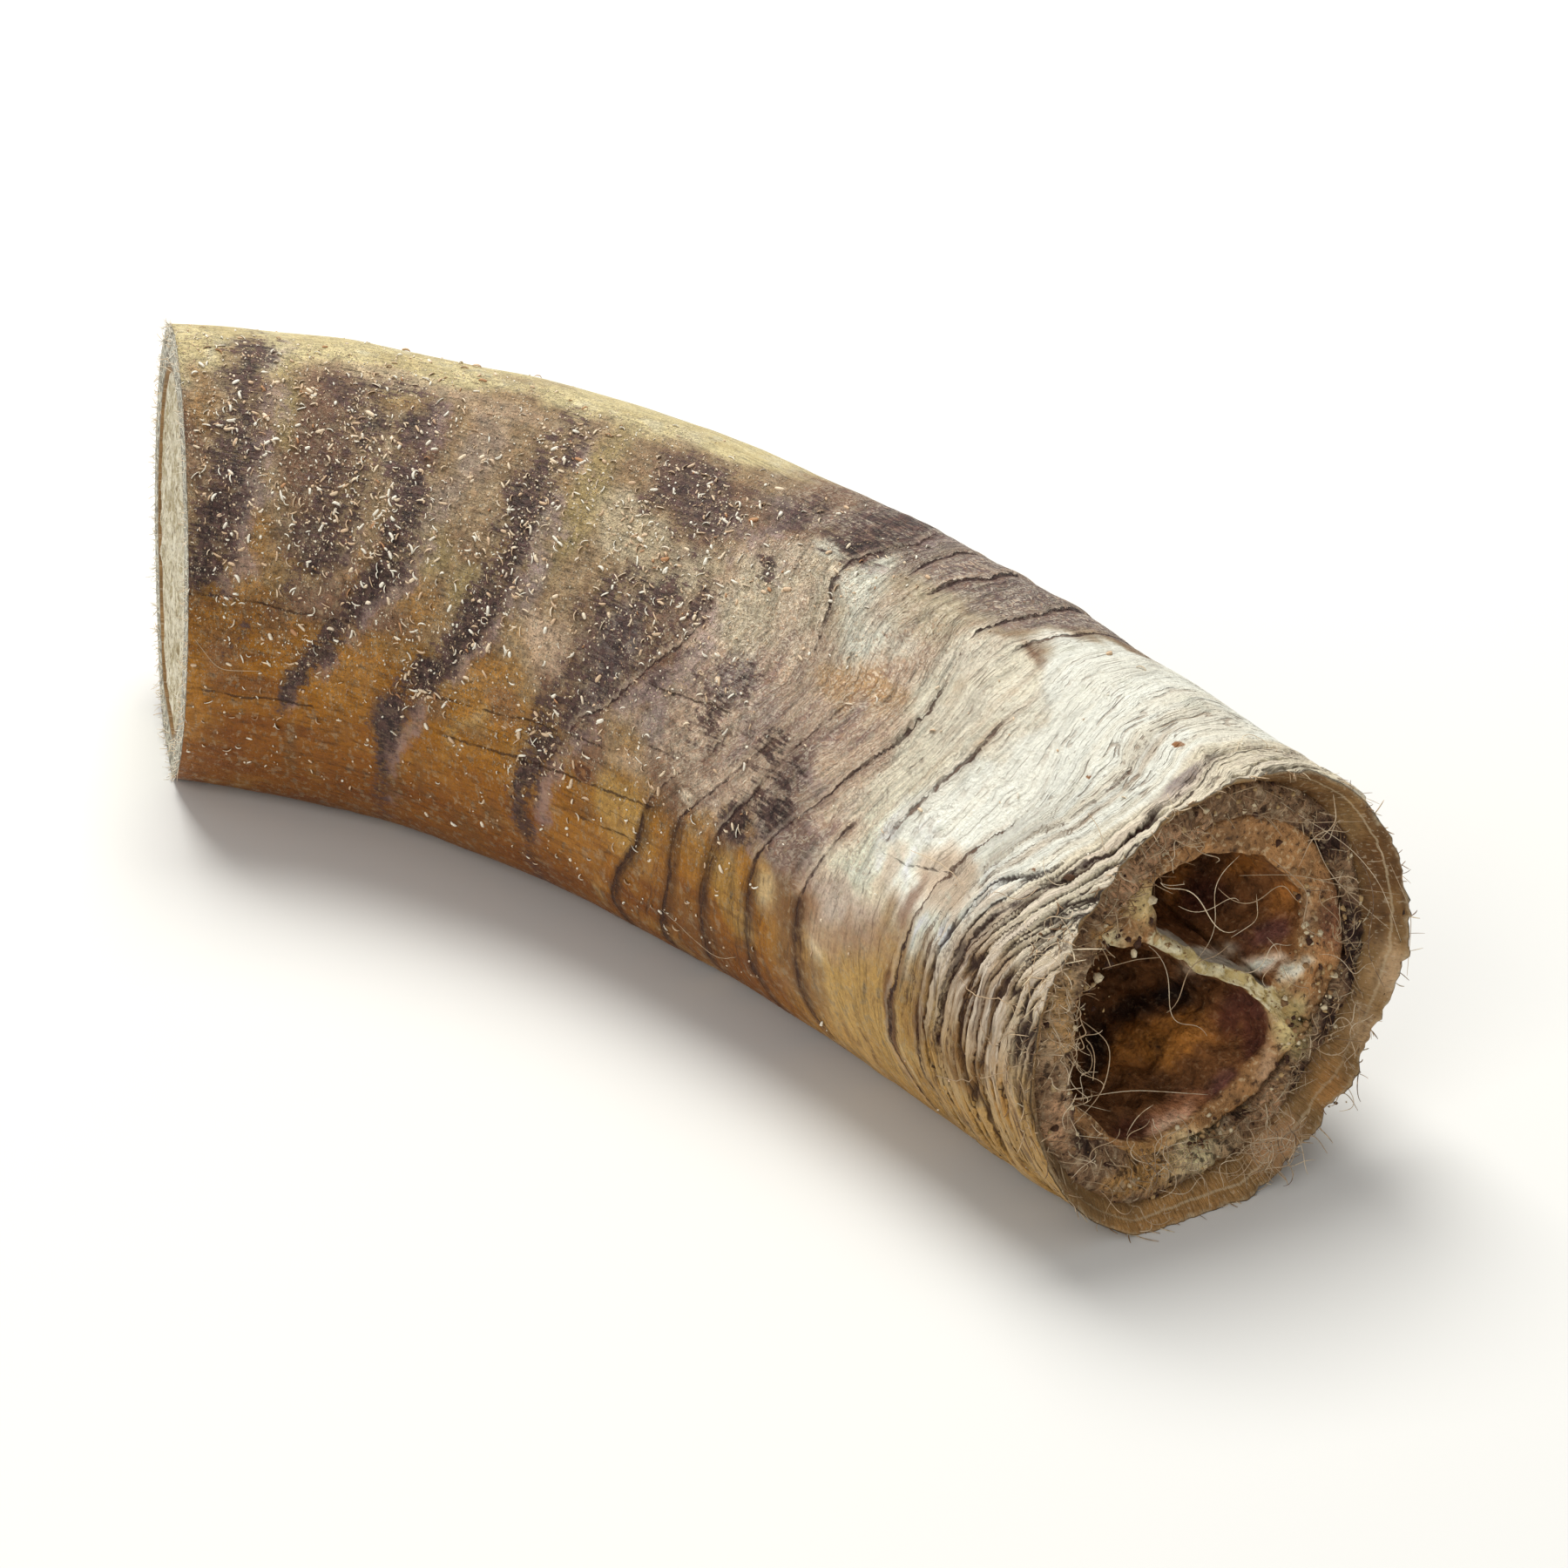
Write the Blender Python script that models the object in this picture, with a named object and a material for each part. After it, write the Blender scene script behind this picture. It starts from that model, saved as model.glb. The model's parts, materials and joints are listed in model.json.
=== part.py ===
"""Goat horn, a sawn length of its base, lying on its side on a flat surface.

The horn is a bent tube of keratin, the sheath, over a bony core. The tip has been sawn off,
which leaves a flat face at -X. The base, or mouth, is at +X, where the core shows two hollow
chambers parted by a thin wall of bone, and a ring of dried tissue fills the joint between
the bone and the sheath. The arc of the horn lies level, bulging towards +Y. A keratin
section is given in polar form: its angle runs from straight up, through the inner side of
the bend at 90 degrees, to straight down at 180 degrees.
"""

import math

import bpy
import numpy as np

MM = 0.001
UP = np.array([0.0, 0.0, 1.0])

# Centre line of the horn: a level arc, tightest at the sawn end and straight at the mouth
ARC_LENGTH = 135.0 * MM
BEND = math.radians(46.5)

# Half sizes of the oval section, and the lean of its long axis from straight up
LONG_HALF_SAWN = 24.2 * MM
LONG_HALF_MOUTH = 22.7 * MM
SHORT_HALF_SAWN = 19.7 * MM
SHORT_HALF_MOUTH = 18.5 * MM
MIDDLE_SWELL = 1.0 * MM
LEAN_SAWN = math.radians(-22.0)
LEAN_MOUTH = math.radians(-51.0)

# The flank that grew against the skull is flatter than the rest
FLANK_DEPTH = 1.7 * MM
FLANK_ANGLE = math.radians(-140.0)
FLANK_WIDTH = math.radians(40.0)

# The side that the horn lies on is worn level, by this much at the lowest line
WORN_DEPTH = 1.1 * MM
LEAST_DOWNWARD = 0.05

# Tilts of the two end faces from square to the centre line, along and across the long axis
SAWN_TILT = (math.radians(-3.2), math.radians(18.3))
MOUTH_TILT = (math.radians(-2.8), math.radians(-14.3))

# Growth ridges, crowded towards the mouth and dying away up the horn
RIDGE_HEIGHT = 0.8 * MM
RIDGE_FIRST_PITCH = 2.9 * MM
RIDGE_PITCH_GROWTH = 0.18 * MM
RIDGE_REACH = 44.0 * MM
RIDGE_SHARPNESS = 1.6
SWELLING_HEIGHT = 0.25 * MM
SWELLING_PITCH = 15.0 * MM
WORN_UNDERSIDE = 0.85
WORN_WIDTH = math.radians(34.0)
RELIEF_FADE_SAWN = 5.0 * MM
RELIEF_FADE_MOUTH = 0.5 * MM

# Walls, and the gap between neighbouring pieces
SHEATH_WALL_SAWN = 4.6 * MM
SHEATH_WALL_MOUTH = 3.2 * MM
GAP = 0.3 * MM
TISSUE_THICKNESS = 1.5 * MM
TISSUE_LENGTH = 17.0 * MM
WAIST_LENGTH = 21.0 * MM
SHOULDER_LENGTH = 5.0 * MM
CORE_RECESS_MOUTH = 3.0 * MM
TISSUE_RECESS_MOUTH = 2.2 * MM
CORE_RECESS_SAWN = 0.3 * MM

# Chambers of the core at the mouth: centre and half size along and across the long axis
CHAMBER_TURN = math.radians(-15.0)
CHAMBER_SQUARENESS = 2.5
CHAMBER_LEAD = 0.25
CHAMBER_STEPS = (0.0, 0.3, 0.6, 0.8, 0.93, 1.0)
CHAMBER_FLOOR = 0.93
CHAMBERS = {
    "upper": {"centre": (7.3 * MM, 2.4 * MM), "half": (4.8 * MM, 8.0 * MM), "depth": 17.0 * MM},
    "lower": {"centre": (-6.5 * MM, 0.0 * MM), "half": (7.7 * MM, 10.6 * MM), "depth": 20.0 * MM},
}

# Fineness of the facets
AROUND_SHEATH = 48
AROUND_CORE = 36
AROUND_CHAMBER = 26
ROWS_CORE = 9
ROWS_TISSUE = 5
COARSE_ROW = 4.2 * MM
FINE_ROW = 1.25 * MM

COLOURS = {
    "keratin": ((0.36, 0.20, 0.085), 0.50),
    "bone": ((0.62, 0.47, 0.30), 0.80),
    "dried tissue": ((0.10, 0.055, 0.04), 0.90),
}


def heading(station):
    """Direction of the centre line, as an angle that turns by BEND in all."""
    along = station / ARC_LENGTH
    return -BEND * (2.0 * along - along * along)


def centre_table():
    """Stations along the centre line with its level position, the chord lying along X."""
    stations = np.linspace(-0.15, 1.15, 1301) * ARC_LENGTH
    turn = heading(stations)
    step = stations[1] - stations[0]
    middle = heading((stations[1:] + stations[:-1]) / 2.0)
    x = np.concatenate([[0.0], np.cumsum(np.cos(middle) * step)])
    y = np.concatenate([[0.0], np.cumsum(np.sin(middle) * step)])
    start = [np.interp(0.0, stations, x), np.interp(0.0, stations, y)]
    end = [np.interp(ARC_LENGTH, stations, x), np.interp(ARC_LENGTH, stations, y)]
    chord = math.atan2(end[1] - start[1], end[0] - start[0])
    level_x = math.cos(chord) * (x - start[0]) + math.sin(chord) * (y - start[1])
    level_y = -math.sin(chord) * (x - start[0]) + math.cos(chord) * (y - start[1])
    return stations, level_x, level_y, turn - chord


STATIONS, CENTRE_X, CENTRE_Y, CENTRE_TURN = centre_table()


def blend(station, at_sawn, at_mouth):
    """A value that runs evenly from the sawn end to the mouth."""
    return at_sawn + (at_mouth - at_sawn) * station / ARC_LENGTH


def oval_radius(station, angle):
    """Distance from the centre line to an oval with one flat flank."""
    along = station / ARC_LENGTH
    long_half = blend(station, LONG_HALF_SAWN, LONG_HALF_MOUTH) + 4.0 * MIDDLE_SWELL * along * (1.0 - along)
    short_half = blend(station, SHORT_HALF_SAWN, SHORT_HALF_MOUTH)
    from_long = angle - blend(station, LEAN_SAWN, LEAN_MOUTH)
    oval = long_half * short_half / np.hypot(short_half * np.cos(from_long), long_half * np.sin(from_long))
    from_flank = (angle - FLANK_ANGLE + math.pi) % (2.0 * math.pi) - math.pi
    return oval - FLANK_DEPTH * np.exp(-((from_flank / FLANK_WIDTH) ** 2))


def centre_height(station):
    """Height of the centre line, such that the worn underside meets the ground all along."""
    angles = np.linspace(0.0, 2.0 * math.pi, 180, endpoint=False)
    sample = oval_radius(STATIONS[::20, None], angles[None, :])
    lowest = np.max(-sample * np.cos(angles)[None, :], axis=1)
    return np.interp(station, STATIONS[::20], lowest) - WORN_DEPTH


def section_radius(station, angle, height=0.0):
    """Distance from the centre line to the outside, a height over the oval and never under the ground."""
    ground = centre_height(station) / np.maximum(-np.cos(angle), LEAST_DOWNWARD)
    return np.minimum(oval_radius(station, angle) + height, ground)


def point(station, angle, radius):
    """Points at a distance from the centre line, in the section at each station."""
    turn = np.interp(station, STATIONS, CENTRE_TURN)
    sideways = radius * np.sin(angle)
    x = np.interp(station, STATIONS, CENTRE_X) + sideways * np.sin(turn)
    y = np.interp(station, STATIONS, CENTRE_Y) - sideways * np.cos(turn)
    z = centre_height(station) + radius * np.cos(angle)
    return np.stack([x, y, z], axis=-1)


def end_axes(station):
    """Tangent, long axis and short axis of the section at one station."""
    turn = float(np.interp(station, STATIONS, CENTRE_TURN))
    lean = blend(station, LEAN_SAWN, LEAN_MOUTH)
    tangent = np.array([math.cos(turn), math.sin(turn), 0.0])
    side = np.array([math.sin(turn), -math.cos(turn), 0.0])
    long_axis = math.cos(lean) * UP + math.sin(lean) * side
    short_axis = -math.sin(lean) * UP + math.cos(lean) * side
    return tangent, long_axis, short_axis


def end_plane(station, tilt, shift):
    """A point and the normal of an end face, shifted along the centre line."""
    tangent, long_axis, short_axis = end_axes(station)
    normal = tangent - math.tan(tilt[0]) * long_axis - math.tan(tilt[1]) * short_axis
    normal = normal / np.linalg.norm(normal)
    origin = point(station, 0.0, 0.0) + shift * tangent
    return origin, normal


def stations_on_plane(plane, start, angle, depth):
    """Stations at which lines along the horn, a depth under its outside, cross an end face."""
    origin, normal = plane
    station = np.full(angle.shape, start)
    for _ in range(12):
        radius = section_radius(station, angle) - depth(station)
        station = station - (point(station, angle, radius) - origin) @ normal
    return station


def sheath_wall(station):
    return blend(station, SHEATH_WALL_SAWN, SHEATH_WALL_MOUTH)


def close_depth(station):
    """Depth of the core's outside where it lies against the sheath."""
    return sheath_wall(station) + GAP


def tissue_depth(station):
    """Depth of the inside of the dried tissue."""
    return close_depth(station) + TISSUE_THICKNESS


def waist_depth(station):
    """Depth of the core's outside where the tissue wraps it."""
    return tissue_depth(station) + GAP


def ridge_count(from_mouth):
    """Ridges counted from the mouth, where ridge n starts at FIRST n + GROWTH n squared."""
    first = RIDGE_FIRST_PITCH
    growth = RIDGE_PITCH_GROWTH
    return (np.sqrt(first * first + 4.0 * growth * from_mouth) - first) / (2.0 * growth)


def relief(from_mouth, angle):
    """Growth ridges and slow swellings, as a height over the smooth outside."""
    count = ridge_count(from_mouth)
    wander = 0.10 * np.sin(2.0 * angle + 0.6) + 0.07 * np.sin(5.0 * angle + count)
    wave = 0.5 + 0.5 * np.cos(2.0 * math.pi * (count + wander))
    uneven = 0.72 + 0.28 * np.sin(3.0 * angle + 1.9 * count)
    ridges = RIDGE_HEIGHT * wave ** RIDGE_SHARPNESS * uneven * np.exp(-((from_mouth / RIDGE_REACH) ** 2))
    swelling = SWELLING_HEIGHT * np.sin(2.0 * math.pi * from_mouth / SWELLING_PITCH + 0.8 * np.sin(angle))
    under = np.exp(-(((angle - math.pi) / WORN_WIDTH) ** 2))
    return (ridges - RIDGE_HEIGHT / 2.0 + swelling) * (1.0 - WORN_UNDERSIDE * under)


def angles_around(count):
    return np.linspace(0.0, 2.0 * math.pi, count, endpoint=False)


def rows_between(first, last, fractions):
    """Rows of stations from one end face to the other."""
    return first + (last - first) * fractions[:, None]


def sheath_fractions():
    """Rows along the outside, closer together where the growth ridges are."""
    fine_from = ARC_LENGTH - RIDGE_REACH
    coarse = np.linspace(0.0, fine_from, round(fine_from / COARSE_ROW), endpoint=False)
    fine = np.linspace(fine_from, ARC_LENGTH, round(RIDGE_REACH / FINE_ROW) + 1)
    return np.concatenate([coarse, fine]) / ARC_LENGTH


def mesh_object(name, rings, tube, material, collection):
    """Skin a stack of rings: closed into a ring-shaped tube, or capped at both ends."""
    count, around = rings.shape[:2]
    mesh = bpy.data.meshes.new(name)
    ring_pairs = count if tube else count - 1
    faces = []
    for row in range(ring_pairs):
        here = row * around
        there = ((row + 1) % count) * around
        for column in range(around):
            right = (column + 1) % around
            faces.append((here + column, here + right, there + right, there + column))
    if not tube:
        faces.append(tuple(reversed(range(around))))
        faces.append(tuple(range((count - 1) * around, count * around)))
    mesh.from_pydata(rings.reshape(-1, 3).tolist(), [], faces)
    mesh.materials.append(material)
    mesh.shade_smooth()
    mesh.set_sharp_from_angle(angle=math.radians(38.0))
    piece = bpy.data.objects.new(name, mesh)
    collection.objects.link(piece)
    return piece


def sheath_rings():
    """The keratin sheath: its outside from the sawn face to the mouth, then its inner wall back."""
    angle = angles_around(AROUND_SHEATH)
    sawn = end_plane(0.0, SAWN_TILT, 0.0)
    mouth = end_plane(ARC_LENGTH, MOUTH_TILT, 0.0)
    fractions = sheath_fractions()

    def no_depth(station):
        return 0.0 * station

    first = stations_on_plane(sawn, 0.0, angle, no_depth)
    last = stations_on_plane(mouth, ARC_LENGTH, angle, no_depth)
    station = rows_between(first, last, fractions)
    from_mouth = (1.0 - fractions[:, None]) * ARC_LENGTH
    fade = np.clip((ARC_LENGTH - from_mouth) / RELIEF_FADE_SAWN, 0.0, 1.0)
    fade = fade * np.clip(from_mouth / RELIEF_FADE_MOUTH, 0.0, 1.0)
    height = relief(from_mouth, angle[None, :]) * fade
    outside = point(station, angle[None, :], section_radius(station, angle[None, :], height))

    first = stations_on_plane(sawn, 0.0, angle, sheath_wall)
    last = stations_on_plane(mouth, ARC_LENGTH, angle, sheath_wall)
    station = rows_between(first, last, np.linspace(1.0, 0.0, 13))
    inner_wall = section_radius(station, angle[None, :]) - sheath_wall(station)
    return np.concatenate([outside, point(station, angle[None, :], inner_wall)])


def core_rings():
    """The bony core, a solid loft between its two end faces."""
    angle = angles_around(AROUND_CORE)
    sawn = end_plane(0.0, SAWN_TILT, CORE_RECESS_SAWN)
    mouth = end_plane(ARC_LENGTH, MOUTH_TILT, -CORE_RECESS_MOUTH)
    first = stations_on_plane(sawn, 0.0, angle, close_depth)
    last = stations_on_plane(mouth, ARC_LENGTH, angle, waist_depth)
    waist = 1.0 - WAIST_LENGTH / ARC_LENGTH
    shoulder = waist - SHOULDER_LENGTH / ARC_LENGTH
    body = np.linspace(0.0, shoulder, ROWS_CORE, endpoint=False)
    fractions = np.concatenate([body, np.linspace(shoulder, waist, 4), [(1.0 + waist) / 2.0, 1.0]])
    station = rows_between(first, last, fractions)
    step = np.clip((fractions[:, None] - shoulder) / (waist - shoulder), 0.0, 1.0)
    step = step * step * (3.0 - 2.0 * step)
    depth = close_depth(station) + step * (waist_depth(station) - close_depth(station))
    return point(station, angle[None, :], section_radius(station, angle[None, :]) - depth)


def tissue_rings():
    """The dried tissue, a thin tube between the core and the sheath at the mouth."""
    angle = angles_around(AROUND_CORE)
    back = end_plane(ARC_LENGTH, MOUTH_TILT, -TISSUE_RECESS_MOUTH - TISSUE_LENGTH)
    front = end_plane(ARC_LENGTH, MOUTH_TILT, -TISSUE_RECESS_MOUTH)
    rings = []
    outwards = np.linspace(0.0, 1.0, ROWS_TISSUE)
    for depth, fractions in ((close_depth, outwards), (tissue_depth, outwards[::-1])):
        first = stations_on_plane(back, ARC_LENGTH, angle, depth)
        last = stations_on_plane(front, ARC_LENGTH, angle, depth)
        station = rows_between(first, last, fractions)
        rings.append(point(station, angle[None, :], section_radius(station, angle[None, :]) - depth(station)))
    return np.concatenate(rings)


def chamber_rings(centre, half, depth):
    """A rounded hollow that narrows inwards from the end face of the core."""
    tangent, long_axis, short_axis = end_axes(ARC_LENGTH)
    origin, normal = end_plane(ARC_LENGTH, MOUTH_TILT, -CORE_RECESS_MOUTH)
    middle = origin + centre[0] * long_axis + centre[1] * short_axis
    middle = middle - ((middle - origin) @ normal) / (tangent @ normal) * tangent
    angle = angles_around(AROUND_CHAMBER)
    power = 2.0 / CHAMBER_SQUARENESS
    across = np.sign(np.cos(angle)) * np.abs(np.cos(angle)) ** power * half[0]
    along = np.sign(np.sin(angle)) * np.abs(np.sin(angle)) ** power * half[1]
    turned_long = across * math.cos(CHAMBER_TURN) + along * math.sin(CHAMBER_TURN)
    turned_short = -across * math.sin(CHAMBER_TURN) + along * math.cos(CHAMBER_TURN)
    shape = turned_long[:, None] * long_axis + turned_short[:, None] * short_axis
    slope = ((shape @ normal) / (tangent @ normal))[:, None] * tangent
    rings = []
    for share in (-CHAMBER_LEAD,) + CHAMBER_STEPS:
        inward = max(share, 0.0)
        size = math.sqrt(1.0 - (CHAMBER_FLOOR * inward) ** CHAMBER_SQUARENESS)
        rings.append(middle + shape * size - slope * (1.0 - inward) * size - share * depth * tangent)
    return np.array(rings[::-1])


def hollow_out(core, cutters, material):
    """Cut the chambers into the core with a cutter for each."""
    for name, chamber in CHAMBERS.items():
        rings = chamber_rings(chamber["centre"], chamber["half"], chamber["depth"])
        cutter = mesh_object(name + "_chamber_cutter", rings, False, material, cutters)
        cutter.location = core.location
        cutter.hide_render = True
        cutter.display_type = "WIRE"
        cut = core.modifiers.new(name + "_chamber", "BOOLEAN")
        cut.operation = "DIFFERENCE"
        cut.solver = "EXACT"
        cut.object = cutter


def finish_material(name):
    colour, roughness = COLOURS[name]
    material = bpy.data.materials.new(name)
    material.use_nodes = True
    shader = material.node_tree.nodes["Principled BSDF"]
    shader.inputs["Base Color"].default_value = (*colour, 1.0)
    shader.inputs["Roughness"].default_value = roughness
    shader.inputs["Metallic"].default_value = 0.0
    return material


def new_collection(name):
    collection = bpy.data.collections.new(name)
    bpy.context.scene.collection.children.link(collection)
    return collection


def build():
    for item in list(bpy.data.objects):
        bpy.data.objects.remove(item, do_unlink=True)
    parts = new_collection("goat_horn")
    cutters = new_collection("cutters")
    keratin = finish_material("keratin")
    bone = finish_material("bone")
    dried = finish_material("dried tissue")

    outside = sheath_rings()
    low = outside.reshape(-1, 3).min(axis=0)
    high = outside.reshape(-1, 3).max(axis=0)
    place = (-(low[0] + high[0]) / 2.0, -(low[1] + high[1]) / 2.0, -low[2])

    sheath = mesh_object("horn_sheath", outside, True, keratin, parts)
    core = mesh_object("bone_core", core_rings(), False, bone, parts)
    tissue = mesh_object("dried_tissue", tissue_rings(), True, dried, parts)
    for piece in (sheath, core, tissue):
        piece.location = place
    hollow_out(core, cutters, bone)


build()
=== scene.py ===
import json
import math
import bpy
import numpy as np
from mathutils import Matrix

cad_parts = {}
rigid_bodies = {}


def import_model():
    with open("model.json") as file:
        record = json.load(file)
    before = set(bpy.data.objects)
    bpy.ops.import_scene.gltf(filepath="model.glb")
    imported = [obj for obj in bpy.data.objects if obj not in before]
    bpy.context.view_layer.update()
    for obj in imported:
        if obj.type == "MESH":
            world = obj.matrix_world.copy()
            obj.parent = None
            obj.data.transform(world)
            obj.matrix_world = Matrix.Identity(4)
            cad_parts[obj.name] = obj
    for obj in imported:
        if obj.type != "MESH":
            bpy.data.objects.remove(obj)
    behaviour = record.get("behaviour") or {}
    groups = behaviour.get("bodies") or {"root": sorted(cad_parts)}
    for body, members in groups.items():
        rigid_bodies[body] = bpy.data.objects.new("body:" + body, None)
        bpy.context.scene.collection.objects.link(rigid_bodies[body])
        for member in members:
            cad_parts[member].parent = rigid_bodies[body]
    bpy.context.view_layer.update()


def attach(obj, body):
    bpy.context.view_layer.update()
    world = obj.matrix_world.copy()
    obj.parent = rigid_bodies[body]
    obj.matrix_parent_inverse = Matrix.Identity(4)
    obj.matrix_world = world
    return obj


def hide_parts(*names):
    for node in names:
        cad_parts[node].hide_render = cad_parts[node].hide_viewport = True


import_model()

# Lengths here are in millimetres and angles in degrees, and turn into metres as a mesh is made.
# Angles round the horn run from the top (0) over the near side (90) to the ground (180).

horn = {
    "length": 135.0,            # along the centre line
    "bend": 46.5,
    "place": (-61.733, -7.194, 0.0),
    "longHalf": (24.2, 22.7),   # at the sawn end, at the mouth
    "shortHalf": (19.7, 18.5),
    "lean": (-22.0, -51.0),
    "swell": 1.0,
    "flankDepth": 1.7,
    "flankAngle": -140.0,
    "flankWidth": 40.0,
    "wornDepth": 1.1,           # the underside is worn level
    "sawnTilt": (-3.2, 18.3),
    "mouthTilt": (-2.8, -14.3),
    "wall": (4.6, 3.2),
    "gap": 0.3,
    "tissue": 1.5,
}
up = np.array([0.0, 0.0, 1.0])


def sine(angle):
    return np.sin(np.radians(angle))


def cosine(angle):
    return np.cos(np.radians(angle))


def ease(value, low, high):
    # 0 below low, 1 above high, 3t^2 - 2t^3 between
    share = np.clip((value - low) / (high - low), 0.0, 1.0)
    return share * share * (3.0 - 2.0 * share)


def hump(value, centre, width):
    # bell shape: e to the minus square of the distance over the width
    return np.exp(-(((value - centre) / width) ** 2))


def follow(pairs, value):
    # straight lines between (position, value) pairs
    table = np.array(pairs, dtype=float)
    return np.interp(value, table[:, 0], table[:, 1])


def softNoise(points, seed):
    # random values at whole-number points of space, eased together between the eight nearest
    size = 64
    lattice = np.random.default_rng(seed).uniform(-1.0, 1.0, (size, size, size))
    cell = np.floor(points).astype(int)
    share = points - cell
    share = share * share * (3.0 - 2.0 * share)
    total = 0.0
    for corner in np.ndindex(2, 2, 2):
        weight = 1.0
        for axis in range(3):
            weight = weight * (share[..., axis] if corner[axis] else 1.0 - share[..., axis])
        near = [(cell[..., axis] + corner[axis]) % size for axis in range(3)]
        total = total + weight * lattice[near[0], near[1], near[2]]
    return total


def roughNoise(points, seed, octaves=3):
    # soft noises added up, each twice as fine and half as strong as the last
    total = 0.0
    for octave in range(octaves):
        total = total + softNoise(points * 2.0 ** octave, seed + octave) * 0.5 ** octave
    return total


def heading(station):
    # the centre line turns by the whole bend, fastest at the sawn end: bend times 2u - u^2
    share = station / horn["length"]
    return -math.radians(horn["bend"]) * (2.0 * share - share * share)


def centreLine():
    # the heading summed up step by step, then turned so that the chord lies along X
    station = np.linspace(-0.15, 1.15, 1301) * horn["length"]
    step = station[1] - station[0]
    middle = heading((station[1:] + station[:-1]) / 2.0)
    x = np.concatenate([[0.0], np.cumsum(np.cos(middle) * step)])
    y = np.concatenate([[0.0], np.cumsum(np.sin(middle) * step)])
    startX, endX = np.interp([0.0, horn["length"]], station, x)
    startY, endY = np.interp([0.0, horn["length"]], station, y)
    chord = math.atan2(endY - startY, endX - startX)
    levelX = math.cos(chord) * (x - startX) + math.sin(chord) * (y - startY)
    levelY = -math.sin(chord) * (x - startX) + math.cos(chord) * (y - startY)
    return station, levelX, levelY, heading(station) - chord


lineStation, lineX, lineY, lineTurn = centreLine()


def blend(station, pair):
    # runs evenly from the sawn end's value to the mouth's
    return pair[0] + (pair[1] - pair[0]) * station / horn["length"]


def ovalRadius(station, angle):
    # an oval: long half times short half, over the slanted width at that angle, less a bell at the flank
    share = station / horn["length"]
    longHalf = blend(station, horn["longHalf"]) + 4.0 * horn["swell"] * share * (1.0 - share)
    shortHalf = blend(station, horn["shortHalf"])
    lean = angle - blend(station, horn["lean"])
    oval = longHalf * shortHalf / np.hypot(shortHalf * cosine(lean), longHalf * sine(lean))
    flank = (angle - horn["flankAngle"] + 180.0) % 360.0 - 180.0
    return oval - horn["flankDepth"] * hump(flank, 0.0, horn["flankWidth"])


def lowestReach():
    # how far each section reaches straight down, less what is worn off
    angle = np.linspace(0.0, 360.0, 180, endpoint=False)
    sample = ovalRadius(lineStation[::20, None], angle[None, :])
    return np.max(-sample * cosine(angle)[None, :], axis=1) - horn["wornDepth"]


lineHeight = lowestReach()


def radiusAt(station, angle, height=0.0):
    # the oval and a height on it, cut off level with the ground
    middle = np.interp(station, lineStation[::20], lineHeight)
    ground = middle / np.maximum(-cosine(angle), 0.05)
    return np.minimum(ovalRadius(station, angle) + height, ground)


def pointAt(station, angle, radius):
    # out from the centre line, in the section that stands square to it
    turn = np.interp(station, lineStation, lineTurn)
    sideways = radius * sine(angle)
    x = np.interp(station, lineStation, lineX) + sideways * np.sin(turn)
    y = np.interp(station, lineStation, lineY) - sideways * np.cos(turn)
    z = np.interp(station, lineStation[::20], lineHeight) + radius * cosine(angle)
    return np.stack([x, y, z], axis=-1) + np.array(horn["place"])


def endAxes(station):
    # along the horn, and sideways towards the near side
    turn = float(np.interp(station, lineStation, lineTurn))
    return np.array([math.cos(turn), math.sin(turn), 0.0]), np.array([math.sin(turn), -math.cos(turn), 0.0])


def endPlane(station, tilt, shift):
    # a point and the normal of an end face: square to the centre line, then tilted along and across the oval
    forward, side = endAxes(station)
    lean = blend(station, horn["lean"])
    longAxis = cosine(lean) * up + sine(lean) * side
    shortAxis = -sine(lean) * up + cosine(lean) * side
    normal = forward - math.tan(math.radians(tilt[0])) * longAxis - math.tan(math.radians(tilt[1])) * shortAxis
    return pointAt(station, 0.0, 0.0) + shift * forward, normal / np.linalg.norm(normal)


def stationsOn(plane, start, angle, depth):
    # where lines along the horn, a depth under its outside, cross an end face: a few steps that close in
    origin, normal = plane
    station = np.full(np.shape(angle), float(start))
    for _ in range(12):
        under = depth(station) if callable(depth) else depth
        station = station - (pointAt(station, angle, radiusAt(station, angle) - under) - origin) @ normal
    return station


def wall(station):
    return blend(station, horn["wall"])


def unit(vectors):
    return vectors / np.linalg.norm(vectors, axis=-1, keepdims=True)


def laidOver(wash, amount, tone):
    # moves a screen colour towards a named tone
    return wash + (np.array(tones[tone], dtype=float) - wash) * np.clip(amount, 0.0, 1.0)[..., None]


def linear(wash):
    # screen colours, 0 to 255, as linear light
    value = (wash / 255.0).clip(0.0, 0.98)
    return np.where(value > 0.04045, ((value + 0.055) / 1.055) ** 2.4, value / 12.92)


def surface(name, points, faceGroups, material):
    # a smooth mesh from points in millimetres and tables of three- or four-cornered faces
    mesh = bpy.data.meshes.new(name)
    sizes = np.concatenate([np.full(len(group), group.shape[1]) for group in faceGroups])
    corners = np.concatenate([group.ravel() for group in faceGroups])
    mesh.vertices.add(len(points))
    mesh.vertices.foreach_set("co", (points * 0.001).ravel())
    mesh.loops.add(len(corners))
    mesh.loops.foreach_set("vertex_index", corners.astype(np.int32))
    mesh.polygons.add(len(sizes))
    mesh.polygons.foreach_set("loop_start", np.concatenate([[0], np.cumsum(sizes)[:-1]]).astype(np.int32))
    mesh.polygons.foreach_set("use_smooth", np.ones(len(sizes), dtype=bool))
    mesh.update(calc_edges=True)
    mesh.materials.append(material)
    piece = bpy.data.objects.new(name, mesh)
    bpy.context.scene.collection.objects.link(piece)
    return piece


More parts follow.
